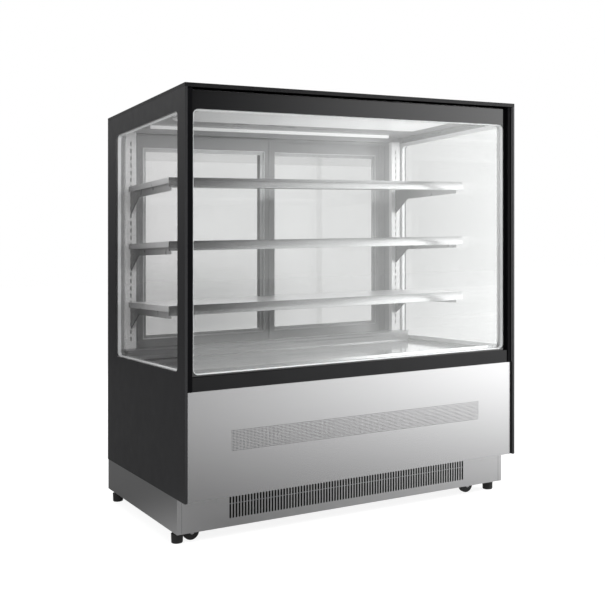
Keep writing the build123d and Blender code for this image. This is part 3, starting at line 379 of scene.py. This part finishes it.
FINISHES = {
    "top_cap": CAP_PAINT, "left_side_frame": BLACK_PAINT, "right_side_frame": BLACK_PAINT,
    "side_outer_panes": SIDE_GLASS, "side_inner_panes": SIDE_GLASS, "glass_spacers": SPACER,
    "front_glass_border": BLACK_GLASS, "front_outer_pane": GLASS, "front_inner_pane": COATED_GLASS,
    "corner_profiles": BLACK_PROFILE, "front_band": BLACK_BAND, "front_panel": STEEL,
    "plinth_front": PLINTH_STEEL, "plinth_sides": PLINTH_STEEL, "plinth_back": PLINTH_STEEL,
    "base_frame": CHASSIS, "base_pan": GALVANISED, "insulated_tub": LINER, "rear_frame": ALUMINIUM,
    "rear_access_panel": GALVANISED, "ceiling_panel": CEILING, "deck_plate": DECK_STEEL,
    "air_duct_panel": DUCT_STEEL, "shelf_uprights": WHITE_PAINT, "shelf_plates": WHITE_SHELF,
    "shelf_brackets": ARM_STEEL, "ticket_strips": NOSE_STEEL, "light_fittings": LAMP,
    "left_door_frame": ALUMINIUM, "right_door_frame": ALUMINIUM, "left_door_glass": DOOR_GLASS,
    "right_door_glass": DOOR_GLASS, "evaporator_coil": FIN_METAL, "condenser_coil": FIN_METAL,
    "evaporator_fan_left": FAN_PLASTIC, "evaporator_fan_right": FAN_PLASTIC,
    "evaporator_fan_housings": FAN_PLASTIC, "condenser_fan": FAN_PLASTIC, "condenser_shroud": DARK_METAL,
    "compressor": DARK_METAL, "refrigerant_pipes": COPPER, "condensate_tray": TRAY,
    "control_box": GALVANISED, "temperature_controller": BLACK_PLASTIC, "power_switch": BLACK_PLASTIC,
    "light_switch": BLACK_PLASTIC, "cable_gland": BLACK_PLASTIC, "castor_plates": CASTOR_STEEL,
}
for name, node in NODES.items():
    if name.startswith("castor_fork"):
        finish = CASTOR_STEEL
    elif name.startswith("castor_wheel") or name.startswith("foot_"):
        finish = RUBBER
    else:
        finish = FINISHES[name]
    node.data.materials.clear()
    node.data.materials.append(finish)


# Mesh helpers

SHARP_ANGLE = math.radians(35)


def link(name, mesh, material, body):
    """Puts a mesh in the scene as a piece that rides on a body."""
    piece = bpy.data.objects.new(name, mesh)
    bpy.context.scene.collection.objects.link(piece)
    mesh.materials.append(material)
    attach(piece, body)
    return piece


class Shape:
    """A mesh under construction from bevelled blocks, extrusions, turned forms and mitred rings."""

    def __init__(self):
        self.made = bmesh.new()

    def take(self, part):
        """Adds another mesh under construction and frees it."""
        mesh = bpy.data.meshes.new("part")
        part.to_mesh(mesh)
        part.free()
        self.made.from_mesh(mesh)
        bpy.data.meshes.remove(mesh)

    def block(self, low, high, bevel):
        """A block between two corners with its edges rounded."""
        part = bmesh.new()
        size = Vector(high) - Vector(low)
        middle = (Vector(high) + Vector(low)) / 2
        bmesh.ops.create_cube(part, size=1, matrix=Matrix.Translation(middle) @ Matrix.Diagonal((*size, 1)))
        bmesh.ops.bevel(part, geom=part.edges[:], offset=bevel, segments=2, affect="EDGES", profile=0.5)
        self.take(part)

    def extrusion(self, profile, low, high):
        """A closed profile of (y, z) points carried along x."""
        part = bmesh.new()
        rows = [[part.verts.new((x, *point)) for point in profile] for x in (low, high)]
        count = len(profile)
        for i in range(count):
            part.faces.new((rows[0][i], rows[0][(i + 1) % count], rows[1][(i + 1) % count], rows[1][i]))
        part.faces.new(rows[0][::-1])
        part.faces.new(rows[1])
        bmesh.ops.recalc_face_normals(part, faces=part.faces)
        self.take(part)

    def turned(self, profile, centre, axis, steps=24, sides=0):
        """A profile of (radius, distance) points turned about an axis through a centre.

        Points with a third value follow a polygon with the given number of sides, as on a nut.
        """
        part = bmesh.new()
        others = [k for k in (0, 1, 2) if k != axis]
        rows = []
        for point in profile:
            radius, along = point[0], point[1]
            row = []
            for step in range(steps if radius else 1):
                turn = 2 * math.pi * step / steps
                reach = radius
                if len(point) > 2:
                    part_turn = (turn + math.pi / sides) % (2 * math.pi / sides) - math.pi / sides
                    reach = radius * math.cos(math.pi / sides) / math.cos(part_turn)
                spot = list(centre)
                spot[others[0]] += reach * math.cos(turn)
                spot[others[1]] += reach * math.sin(turn)
                spot[axis] += along
                row.append(part.verts.new(spot))
            rows.append(row)
        for before, after in zip(rows, rows[1:]):
            for step in range(steps):
                following = (step + 1) % steps
                ring = [before[step % len(before)], before[following % len(before)],
                        after[following % len(after)], after[step % len(after)]]
                corners = []
                for vertex in ring:
                    if vertex not in corners:
                        corners.append(vertex)
                if len(corners) > 2:
                    part.faces.new(corners)
        bmesh.ops.recalc_face_normals(part, faces=part.faces)
        self.take(part)

    def ring(self, low, high, profile):
        """A mitred frame round an upright rectangle. The profile has (beyond its edge, y) points."""
        part = bmesh.new()
        corners = []
        for side, rise in ((-1, -1), (1, -1), (1, 1), (-1, 1)):
            row = []
            for over, depth in profile:
                x = (low[0] if side < 0 else high[0]) + side * over
                z = (low[1] if rise < 0 else high[1]) + rise * over
                row.append(part.verts.new((x, depth, z)))
            corners.append(row)
        count = len(profile)
        for k in range(4):
            here, there = corners[k], corners[(k + 1) % 4]
            for i in range(count):
                after = (i + 1) % count
                part.faces.new((here[i], here[after], there[after], there[i]))
        bmesh.ops.recalc_face_normals(part, faces=part.faces)
        self.take(part)

    def piece(self, name, material, body="cabinet", slot="black_plastic"):
        """Makes the shape a piece, smooth except at its sharp edges."""
        mesh = bpy.data.meshes.new(name)
        self.made.to_mesh(mesh)
        self.made.free()
        for face in mesh.polygons:
            face.use_smooth = True
        mesh.set_sharp_from_angle(angle=SHARP_ANGLE)
        return link(name, mesh, material, body)


# Perforated front panel

PANEL_HALF = 0.5893
PANEL_FRONT = -0.365
PANEL_BOTTOM, PANEL_TOP = 0.140, 0.4545
SHEET = 0.0012
FIELD_LEFT, FIELD_RIGHT = -0.453, 0.452
FIELD_BOTTOM, FIELD_TOP = 0.2715, 0.334
HOLE_ROWS, HOLE_COLUMNS = 14, 202
HOLE_RADIUS = 0.0012
HOLE_SIDES = 8
# A cell's eight rim points in half cells, in step with its hole's corners
CELL_RIM = ((2, 1), (2, 2), (1, 2), (0, 2), (0, 1), (0, 0), (1, 0), (2, 0))
BEND = 0.0018
BEND_STEPS = 4
RETURN_DEPTH = 0.016
PLINTH_FRONT = -0.306


def panel_mesh():
    """One sheet with a field of round holes, its ends and its foot folded back round soft bends."""
    made = bmesh.new()
    pitch_x = (FIELD_RIGHT - FIELD_LEFT) / HOLE_COLUMNS
    pitch_z = (FIELD_TOP - FIELD_BOTTOM) / HOLE_ROWS
    grid = {}

    def corner(i, j):
        """A vertex on the grid of half cells."""
        key = (i, j)
        if key not in grid:
            x, z = FIELD_LEFT + i * pitch_x / 2, FIELD_BOTTOM + j * pitch_z / 2
            grid[key] = made.verts.new((x, PANEL_FRONT, z))
        return grid[key]

    for column in range(HOLE_COLUMNS):
        for row in range(HOLE_ROWS):
            i, j = 2 * column, 2 * row
            ring = [corner(i + a, j + b) for a, b in CELL_RIM]
            middle = (FIELD_LEFT + (column + 0.5) * pitch_x, FIELD_BOTTOM + (row + 0.5) * pitch_z)
            hole = []
            for side in range(HOLE_SIDES):
                turn = 2 * math.pi * side / HOLE_SIDES
                x = middle[0] + HOLE_RADIUS * math.cos(turn)
                z = middle[1] + HOLE_RADIUS * math.sin(turn)
                hole.append(made.verts.new((x, PANEL_FRONT, z)))
            for side in range(HOLE_SIDES):
                after = (side + 1) % HOLE_SIDES
                made.faces.new((ring[side], ring[after], hole[after], hole[side]))
    last_i, last_j = 2 * HOLE_COLUMNS, 2 * HOLE_ROWS
    flat = PANEL_HALF - BEND
    low_left = made.verts.new((-flat, PANEL_FRONT, PANEL_BOTTOM))
    low_right = made.verts.new((flat, PANEL_FRONT, PANEL_BOTTOM))
    top_left = made.verts.new((-flat, PANEL_FRONT, PANEL_TOP))
    top_right = made.verts.new((flat, PANEL_FRONT, PANEL_TOP))
    bottom_edge = [corner(i, 0) for i in range(last_i + 1)]
    top_edge = [corner(i, last_j) for i in range(last_i + 1)]
    left_edge = [corner(0, j) for j in range(last_j + 1)]
    right_edge = [corner(last_i, j) for j in range(last_j + 1)]
    made.faces.new([low_left, low_right] + bottom_edge[::-1])
    made.faces.new([top_right, top_left] + top_edge)
    made.faces.new([top_left, low_left] + left_edge)
    made.faces.new([low_right, top_right] + right_edge[::-1])
    for side, low, top in ((-1, low_left, top_left), (1, low_right, top_right)):
        before = (low, top)
        points = []
        for step in range(1, BEND_STEPS + 1):
            turn = math.pi / 2 * step / BEND_STEPS
            points.append((side * (flat + BEND * math.sin(turn)), PANEL_FRONT + BEND * (1 - math.cos(turn))))
        points.append((side * PANEL_HALF, PANEL_FRONT + RETURN_DEPTH))
        for x, y in points:
            here = (made.verts.new((x, y, PANEL_BOTTOM)), made.verts.new((x, y, PANEL_TOP)))
            made.faces.new((before[0], before[1], here[1], here[0]))
            before = here
    foot = (low_left, low_right)
    for step in range(1, BEND_STEPS + 1):
        turn = math.pi / 2 * step / BEND_STEPS
        y = PANEL_FRONT + BEND * math.sin(turn)
        here = (made.verts.new((-flat, y, PANEL_BOTTOM)), made.verts.new((flat, y, PANEL_BOTTOM)))
        made.faces.new((foot[0], foot[1], here[1], here[0]))
        foot = here
    back_y = PLINTH_FRONT + SHEET
    back = (made.verts.new((-flat, back_y, PANEL_BOTTOM)), made.verts.new((flat, back_y, PANEL_BOTTOM)))
    made.faces.new((foot[0], foot[1], back[1], back[0]))
    bmesh.ops.recalc_face_normals(made, faces=made.faces)
    made.normal_update()
    facing = sum(face.normal.y * face.calc_area() for face in made.faces)
    if facing > 0:
        bmesh.ops.reverse_faces(made, faces=made.faces)
    mesh = bpy.data.meshes.new("perforated_panel")
    made.to_mesh(mesh)
    made.free()
    return mesh


panel = link("perforated_panel", panel_mesh(), STEEL, "cabinet")
thickness = panel.modifiers.new("sheet", "SOLIDIFY")
thickness.thickness = SHEET
thickness.offset = -1
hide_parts("front_panel")


# Shelf noses: polished strips that curve out to their lower edge

SHELF_TOPS = (0.692, 0.892, 1.089)
SHELF_HALF = 0.560
SHELF_FRONT = -0.132
NOSE_HEIGHT = 0.030
NOSE_TILT = math.radians(32)
NOSE_STEPS = 10
LIP_RADIUS = 0.0012
LIP_STEPS = 3


def nose_profile(top):
    """Points (y, z) of a nose: tilted up at its top edge, upright at its foot, with a rounded lip."""
    radius = NOSE_HEIGHT / math.sin(NOSE_TILT)
    points = []
    for step in range(NOSE_STEPS + 1):
        tilt = NOSE_TILT * (1 - step / NOSE_STEPS)
        y = SHELF_FRONT - radius * (math.cos(tilt) - math.cos(NOSE_TILT))
        z = top - NOSE_HEIGHT + radius * math.sin(tilt) * (1 - LIP_RADIUS / NOSE_HEIGHT) + LIP_RADIUS
        points.append((y, min(z, top)))
    foot_y = points[-1][0]
    for step in range(1, LIP_STEPS + 1):
        turn = math.pi / 2 * step / LIP_STEPS
        y = foot_y + LIP_RADIUS * (1 - math.cos(turn))
        points.append((y, top - NOSE_HEIGHT + LIP_RADIUS * (1 - math.sin(turn))))
    points.append((SHELF_FRONT, top - NOSE_HEIGHT))
    return points


noses = Shape()
for top in SHELF_TOPS:
    noses.extrusion(nose_profile(top), -SHELF_HALF, SHELF_HALF)
nose_piece = noses.piece("shelf_nose_strips", NOSE_STEEL, slot="white_strip")
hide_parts("ticket_strips")

# Bright trims on the deck, along its back and along the glass channel in front: front, back, top, bevel

CHAMBER_HALF = 0.574
DECK_TOP = 0.493
DECK_TRIMS = ((0.2265, 0.2293, DECK_TOP + 0.0032, 0.0012), (-0.3335, -0.3312, 0.5135, 0.0009))
trims = Shape()
for front, back, top, bevel in DECK_TRIMS:
    trims.block((-CHAMBER_HALF, front, DECK_TOP), (CHAMBER_HALF, back, top), bevel)
trims.piece("deck_edge_trims", NOSE_STEEL, slot="brushed_stainless")

# Round beads up the front corners, as (radius, height), and seam lines at the plinth's front corners.
# The beads' pale grey on the black also stands for a glint along the glass edges, a painted highlight

CORNER_BEAD = ((0, 0), (0.0009, 0.0004), (0.0011, 0.002), (0.0011, 0.869), (0, 0.8705))
CORNER_X, CORNER_Y, CORNER_FOOT = 0.592, -0.3688, 0.455
CORNER_STEPS = 12
SEAM_X, SEAM_HALF = 0.584, 0.0005
SEAM_FRONT, SEAM_BACK = -0.3063, -0.3055
SEAM_BOTTOM, SEAM_TOP = 0.0375, 0.1385
SEAM_BEVEL = 0.0002
beads = Shape()
for side in (-1, 1):
    beads.turned(CORNER_BEAD, (side * CORNER_X, CORNER_Y, CORNER_FOOT), 2, CORNER_STEPS)
for side in (-1, 1):
    beads.block((side * SEAM_X - SEAM_HALF, SEAM_FRONT, SEAM_BOTTOM),
                (side * SEAM_X + SEAM_HALF, SEAM_BACK, SEAM_TOP), SEAM_BEVEL)
beads.piece("corner_beads", GREY_PLASTIC)

# Dark mats behind the plinth's slots, below and above the base pan, and behind the perforated field,
# where the dark sheet is painted shade in the holes

MAT_BEVEL = 0.001
SLOT_MAT_HALF = 0.448
SLOT_MAT_FRONT, SLOT_MAT_BACK = -0.3046, -0.2995
SLOT_MAT_HEIGHTS = ((0.041, 0.1022), (0.1042, 0.139))
FIELD_MAT_FRONT, FIELD_MAT_BACK = -0.3628, -0.3606
FIELD_MARGIN = 0.006
mat = Shape()
for bottom, top in SLOT_MAT_HEIGHTS:
    mat.block((-SLOT_MAT_HALF, SLOT_MAT_FRONT, bottom), (SLOT_MAT_HALF, SLOT_MAT_BACK, top), MAT_BEVEL)
mat.block((FIELD_LEFT - FIELD_MARGIN, FIELD_MAT_FRONT, FIELD_BOTTOM - FIELD_MARGIN),
          (FIELD_RIGHT + FIELD_MARGIN, FIELD_MAT_BACK, FIELD_TOP + FIELD_MARGIN), MAT_BEVEL)
mat.piece("grille_mat", FILTER_AND_SHADE)

# Doors: a spacer between the panes, a glazing bead on each face, a rib on each stile, and a pull cup

DOOR_BOTTOM, DOOR_TOP = 0.513, 1.275
DOOR_DEPTH = 0.018
RAIL = 0.044
DOORS = {"left_door": (-0.534, 0.027, 0.317), "right_door": (-0.027, 0.534, 0.339)}
SPACER_INNER, SPACER_OUTER, SPACER_HALF = -0.0125, -0.0004, 0.0022
RIB_LEFT, RIB_RIGHT = 0.017, 0.026
RIB_RISE, RIB_SINK = 0.0011, 0.0002
RIB_END, RIB_BEVEL = 0.002, 0.0005
PULL_INSET = 0.014
PULL_LEFT, PULL_RIGHT = 0.0003, 0.0157
PULL_BOTTOM, PULL_TOP = 0.8343, 0.9537
CUP_DEEP, CUP_FLOOR, CUP_BEVEL = -0.0079, -0.0068, 0.0003

# Profiles round an opening: how far over its edge, and how far out of the door's face
GLAZING_BEAD = ((-0.0022, -0.0024), (0.0012, -0.0002), (0.0006, 0.0007), (-0.0014, 0.0004),
                (-0.0026, -0.0012))
PULL_CUP = ((0.0025, 0.0001), (0.002, 0.0009), (-0.0008, 0.0009), (-0.0014, -0.0076), (-0.0002, -0.0077),
            (-0.0002, 0.0001))


def outwards(profile, side, face):
    """A profile with its second values measured from a face, to the side (-1 or 1) that it looks to."""
    return [(point[0], face + side * point[1], *point[2:]) for point in profile]


for body, (door_left, door_right, door_front) in DOORS.items():
    low = (door_left + RAIL, DOOR_BOTTOM + RAIL)
    high = (door_right - RAIL, DOOR_TOP - RAIL)
    middle, door_back = door_front + DOOR_DEPTH / 2, door_front + DOOR_DEPTH
    spacer = Shape()
    spacer.ring(low, high, [(SPACER_INNER, middle - SPACER_HALF), (SPACER_OUTER, middle - SPACER_HALF),
                            (SPACER_OUTER, middle + SPACER_HALF), (SPACER_INNER, middle + SPACER_HALF)])
    spacer.piece(body + "_pane_spacer", SPACER, body, "aluminium_frame")
    for place, face, side, finish in (("front", door_front, -1, SPACER), ("rear", door_back, 1, RUBBER)):
        bead = Shape()
        bead.ring(low, high, outwards(GLAZING_BEAD, side, face))
        bead.piece(body + "_bead_" + place, finish, body)
    ribs = Shape()
    for stile_left in (door_left, door_right - RAIL):
        ribs.block((stile_left + RIB_LEFT, door_front - RIB_RISE, DOOR_BOTTOM + RIB_END),
                   (stile_left + RIB_RIGHT, door_front + RIB_SINK, DOOR_TOP - RIB_END), RIB_BEVEL)
    ribs.piece(body + "_stile_ribs", ALUMINIUM, body, "aluminium_frame")
    pull_x = (door_left if body == "left_door" else door_right - RAIL) + PULL_INSET
    low, high = (pull_x + PULL_LEFT, PULL_BOTTOM), (pull_x + PULL_RIGHT, PULL_TOP)
    cup = Shape()
    cup.ring(low, high, outwards(PULL_CUP, 1, door_back))
    cup.block((low[0], door_back + CUP_DEEP, low[1]), (high[0], door_back + CUP_FLOOR, high[1]), CUP_BEVEL)
    cup.piece(body + "_pull_cup", BLACK_PLASTIC, body)

# Screws of the rear access panel: a domed head down to the floor of its six-sided socket, in shares of
# the head's radius and height. A third value marks the socket's sides

REAR_PANEL_BACK = 0.369
SCREW_RADIUS, SCREW_HEIGHT = 0.0038, 0.0022
SCREW_HEAD = ((1, 0), (1, 0.35), (0.86, 0.8), (0.6, 1), (0.45, 1, 1), (0.45, 0.4, 1), (0, 0.4))
SCREW_COLUMNS = (-0.575, -0.345, -0.115, 0.115, 0.345, 0.575)
SCREW_ROWS = (0.1135, 0.332)
HEXAGON = 6
screw = [(SCREW_RADIUS * point[0], SCREW_HEIGHT * point[1], *point[2:]) for point in SCREW_HEAD]
screws = Shape()
for x in SCREW_COLUMNS:
    for z in SCREW_ROWS:
        screws.turned(screw, (x, REAR_PANEL_BACK, z), 1, sides=HEXAGON)
screws.piece("rear_panel_screws", ZINC, slot="chassis_steel")

# Louvres in the rear access panel: pressed hoods, open at the foot, as (out of the panel, up)

LOUVRE = ((-0.0004, 0.006), (0.0006, 0.0052), (0.00252, 0.002), (0.0036, -0.002), (0.0036, -0.0036),
          (0.0025, -0.0036), (-0.0004, 0.0034))
LOUVRE_LEFTS = (-0.46, -0.24, -0.02)
LOUVRE_WIDTH = 0.18
LOUVRE_ROWS, LOUVRE_BOTTOM, LOUVRE_PITCH = 10, 0.165, 0.0135
louvres = Shape()
for left in LOUVRE_LEFTS:
    for row in range(LOUVRE_ROWS):
        height = LOUVRE_BOTTOM + LOUVRE_PITCH * row
        hood = [(REAR_PANEL_BACK + out, height + up) for out, up in LOUVRE]
        louvres.extrusion(hood, left, left + LOUVRE_WIDTH)
louvres.piece("rear_louvres", GALVANISED, slot="chassis_steel")

# Controller face: a dark window and four foil keys

WINDOW_LOW, WINDOW_HIGH = (0.371, 0.3715, 0.278), (0.4, 0.3726, 0.302)
WINDOW_BEVEL = 0.0005
KEY = ((0.0042, 0), (0.0042, 0.0004), (0.003, 0.0008), (0, 0.0009))
KEY_X, KEY_Y, KEY_Z = 0.412, 0.3718, 0.2835
KEY_PITCH, KEY_STEPS = 0.013, 20
keys = Shape()
keys.block(WINDOW_LOW, WINDOW_HIGH, WINDOW_BEVEL)
for column in range(2):
    for row in range(2):
        keys.turned(KEY, (KEY_X + KEY_PITCH * column, KEY_Y, KEY_Z + KEY_PITCH * row), 1, KEY_STEPS)
keys.piece("controller_keys", BLACK_GLASS)

# Castors: hub rings on the wheels and nuts on the forks. Feet: nuts under the stems. A profile gives the
# radius and how far out of the wheel, cheek or foot, and its third value marks the sides of a nut

CASTORS = {"front_left": (-0.510, -0.249), "front_right": (0.510, -0.249),
           "rear_left": (-0.510, 0.316), "rear_right": (0.510, 0.316)}
TRAIL = 0.024
AXLE_HEIGHT = 0.025
HUB_FACE, CHEEK_FACE = 0.009, 0.0125
HUB_STEPS = 32
HUB = ((0.0062, -0.0004), (0.0064, 0.0005), (0.0085, 0.0006), (0.0125, 0.0002), (0.0145, 0.0006),
       (0.0155, 0.0004), (0.016, -0.0004))
AXLE_NUT = ((0.0068, -0.0002), (0.0068, 0.0006), (0.0056, 0.0007, 1), (0.0056, 0.0036, 1),
            (0.0048, 0.0042), (0.0032, 0.0042), (0.003, 0.0054), (0, 0.0056))
for place, (x, y) in CASTORS.items():
    hub, nut = Shape(), Shape()
    axle = (x - TRAIL, y, AXLE_HEIGHT)
    for side in (-1, 1):
        hub.turned(outwards(HUB, side, side * HUB_FACE), axle, 1, HUB_STEPS)
        nut.turned(outwards(AXLE_NUT, side, side * CHEEK_FACE), axle, 1, sides=HEXAGON)
    hub.piece("wheel_hubs_" + place, CASTOR_STEEL, "wheel_" + place, "castor_tread")
    nut.piece("axle_nuts_" + place, ZINC, "fork_" + place, "castor_steel")

FEET = {"front_left": (-0.579, -0.255), "front_right": (0.579, -0.255),
        "rear_left": (-0.579, 0.322), "rear_right": (0.579, 0.322)}
FOOT_NUT_HEIGHT = 0.028
FOOT_NUT = ((0.0052, 0.0), (0.0105, 0.0), (0.011, 0.0008), (0.0092, 0.001, 1), (0.0092, 0.0062, 1),
            (0.0078, 0.007), (0.0052, 0.007))
for place, (x, y) in FEET.items():
    nut = Shape()
    nut.turned(FOOT_NUT, (x, y, FOOT_NUT_HEIGHT), 2, sides=HEXAGON)
    nut.piece("foot_nut_" + place, ZINC, "foot_body_" + place, "foot_rubber")


# Stage: floor, world and lamps

LIGHT_START, LIGHT_FULL = math.radians(19), math.radians(43)
LIGHT_END, LIGHT_GONE = math.radians(65), math.radians(110)
LIGHT_REST = 0.35
LIGHT_CUT = (math.radians(-178), math.radians(-150), 0.0, 1.0)
LIGHT_CURVE = 1.7
LIGHT_POWER = 2.6
ROOM_POWER = 0.06


def ray_shares(graph):
    """1 or 0 for each kind of ray: to the eye, straight or through glass, then to a mirror, then others."""
    path = graph.add("ShaderNodeLightPath")
    seen = graph.math("MAXIMUM", path.outputs["Is Camera Ray"], path.outputs["Is Transmission Ray"])
    glossy = path.outputs["Is Glossy Ray"]
    return seen, glossy, graph.remainder(graph.math("MAXIMUM", seen, glossy))


def big_light(graph, x, y):
    """How bright the studio's big light to the right looks in a direction over the floor."""
    bearing = graph.math("ARCTAN2", x, graph.times(y, -1.0))
    rise = graph.spread(bearing, LIGHT_START, LIGHT_FULL, 0.0, 1.0)
    light = graph.times(graph.math("POWER", graph.math("MAXIMUM", rise, 0.0), LIGHT_CURVE), LIGHT_POWER)
    fall = graph.spread(bearing, LIGHT_END, LIGHT_GONE, 1.0, LIGHT_REST, smooth=True)
    return graph.times(graph.times(light, fall), graph.spread(bearing, *LIGHT_CUT))


# The floor in mirror images: its glow grows with x and with the distance from the case's middle in y. A
# patch on the case's left adds to it. It dims behind the case, and far out it blends into the world's light
FLOOR_REACH = 30
GLOW_ACROSS = (-0.75, 2.6, 0.0, 1.0)
GLOW_CURVE, GLOW_GAIN, GLOW_LEAST = 1.35, 1.42, 0.08
GLOW_AWAY, MOST_AWAY = 0.09, 3.5
PATCH_IN = (-2.0, -1.0, 0.0, 0.3)
PATCH_OUT = (-0.4, -0.7, 0.0, 1.0)
GLOW_BEHIND = (-0.4, 0.4, 1.0, 0.25)
GLOW_FAR = (3.8, 9.5, 0.0, 1.0)
# The floor's strength to the eye and to all other rays, and its greys for the eye and for mirrors
FLOOR_SEEN, FLOOR_HIDDEN = 0.88, 0.3
FLOOR_GREYS = (0.21, 0.23)
FLOOR_DARK = 0.02


def studio_floor():
    """White to the eye; in mirror images it is dark near the case's left and bright far to its right."""
    material, graph = new_material("studio_floor")
    across, along, _ = graph.axes(graph.object_point())
    away = graph.math("MINIMUM", graph.math("ABSOLUTE", along), MOST_AWAY)
    slope = graph.math("POWER", graph.spread(across, *GLOW_ACROSS), GLOW_CURVE)
    shine = graph.total(graph.times(slope, GLOW_GAIN), graph.times(away, GLOW_AWAY), GLOW_LEAST)
    patch = graph.times(graph.spread(across, *PATCH_IN, smooth=True), graph.spread(across, *PATCH_OUT))
    shine = graph.times(graph.math("ADD", shine, patch), graph.spread(along, *GLOW_BEHIND, smooth=True))
    reach = graph.add("ShaderNodeVectorMath", {0: graph.object_point()}, operation="LENGTH").outputs["Value"]
    horizon = graph.math("ADD", big_light(graph, across, along), ROOM_POWER)
    shine = graph.blend(graph.spread(reach, *GLOW_FAR, smooth=True), shine, horizon)
    seen, glossy, hidden = ray_shares(graph)
    glow = graph.total(graph.times(seen, FLOOR_SEEN), graph.times(glossy, shine),
                       graph.times(hidden, FLOOR_HIDDEN))
    pale = graph.blend(graph.noise(0.8), grey(FLOOR_GREYS[0]), grey(FLOOR_GREYS[1]))
    matte_colour = graph.blend(graph.remainder(glossy), grey(FLOOR_DARK), pale)
    matte = graph.add("ShaderNodeBsdfDiffuse", {"Color": matte_colour})
    light = graph.add("ShaderNodeEmission", {"Color": grey(1.0), "Strength": glow})
    graph.add("ShaderNodeOutputMaterial", {"Surface": graph.add("ShaderNodeAddShader", {0: matte, 1: light})})
    return material


floor_mesh = bpy.data.meshes.new("floor")
floor_mesh.from_pydata([(-FLOOR_REACH, -FLOOR_REACH, 0), (FLOOR_REACH, -FLOOR_REACH, 0),
                        (FLOOR_REACH, FLOOR_REACH, 0), (-FLOOR_REACH, FLOOR_REACH, 0)], [], [(0, 1, 2, 3)])
floor = bpy.data.objects.new("floor", floor_mesh)
bpy.context.scene.collection.objects.link(floor)
floor_mesh.materials.append(studio_floor())

# The room in mirror images, by direction: the big light dims overhead, and two weaker lights stand behind
# the case and high on its left
OVERHEAD = (0.15, 0.85, 1.0, 0.12)
BEHIND_DEPTH = (0.0, 0.6, 0.0, 1.0)
BEHIND_ACROSS = (-0.3, 0.55, 0.0, 0.85)
LEFT_HEIGHT = (-0.03, 0.3, 0.0, 0.5)
LEFT_ACROSS = (0.1, -0.2, 0.0, 1.0)
WORLD_HIDDEN = 0.6


def studio_world():
    """White to the eye; mirror images see one big soft light to the right and a dark room to the left."""
    world = bpy.data.worlds.new("studio")
    bpy.context.scene.world = world
    sky = Graph(world)
    x, y, z = sky.axes(sky.add("ShaderNodeTexCoord").outputs["Generated"])
    softbox = sky.times(big_light(sky, x, y), sky.spread(z, *OVERHEAD, smooth=True))
    behind = sky.times(sky.spread(y, *BEHIND_DEPTH, smooth=True), sky.spread(x, *BEHIND_ACROSS, smooth=True))
    left_top = sky.times(sky.spread(z, *LEFT_HEIGHT, smooth=True), sky.spread(x, *LEFT_ACROSS, smooth=True))
    room = sky.total(softbox, behind, left_top, ROOM_POWER)
    seen, glossy, hidden = ray_shares(sky)
    strength = sky.total(seen, sky.times(glossy, room), sky.times(hidden, WORLD_HIDDEN))
    background = sky.add("ShaderNodeBackground", {"Color": grey(1.0), "Strength": strength})
    sky.add("ShaderNodeOutputWorld", {"Surface": background})


studio_world()


def lamp(name, place, target, size, power):
    """A soft area lamp aimed at a point. It stays out of mirror images, where the world stands for it."""
    data = bpy.data.lights.new(name, "AREA")
    data.shape = "RECTANGLE"
    data.size, data.size_y = size
    data.energy = power
    holder = bpy.data.objects.new(name, data)
    holder.location = place
    holder.rotation_euler = (Vector(target) - Vector(place)).to_track_quat("-Z", "Y").to_euler()
    holder.visible_glossy = False
    holder.visible_camera = False
    holder.visible_transmission = False
    bpy.context.scene.collection.objects.link(holder)


# Each lamp's place, the point it is aimed at, its size and its power in watts
lamp("key", (2.4, -3.2, 3.0), (0, 0, 0.7), (2.4, 1.8), 150)
lamp("fill", (-3.6, -2.4, 2.0), (0, 0, 0.7), (2.4, 2.0), 60)
lamp("side", (2.4, -1.0, 1.0), (0, 0.25, 0.9), (1.4, 1.4), 55)
lamp("rear", (0.5, 3.8, 2.6), (0, 0, 0.8), (3.0, 2.0), 60)
lamp("top", (0, 0, 4.2), (0, 0, 0), (2.5, 2.5), 50)
lamp("case_light", (0, -0.12, 1.286), (0, -0.12, 0), (0.9, 0.34), 3)

# Camera: level, with the small shear that the photograph's straightened uprights leave in its horizon
YAW = math.radians(28.124)
SHEAR = -0.02629
EYE = (-1.5857, -2.9238, 0.8365)
camera_data = bpy.data.cameras.new("camera")
camera_data.sensor_fit = "HORIZONTAL"
camera_data.sensor_width = 36
camera_data.lens = 57.01
camera_data.shift_y = -0.0748
camera_data.clip_start = 0.05
camera_data.clip_end = 200
stand = bpy.data.objects.new("camera_stand", None)
camera = bpy.data.objects.new("camera", camera_data)
bpy.context.scene.collection.objects.link(stand)
bpy.context.scene.collection.objects.link(camera)
camera.parent = stand
ahead = Vector((math.sin(YAW), math.cos(YAW), 0))
aside = Vector((math.cos(YAW), -math.sin(YAW), SHEAR))
camera.matrix_parent_inverse = Matrix((
    (aside.x, 0, -ahead.x, EYE[0]),
    (aside.y, 0, -ahead.y, EYE[1]),
    (aside.z, 1, -ahead.z, EYE[2]),
    (0, 0, 0, 1)))
scene = bpy.context.scene
scene.camera = camera
scene.view_settings.view_transform = "Standard"
scene.cycles.transparent_max_bounces = 32

bpy.context.view_layer.update()
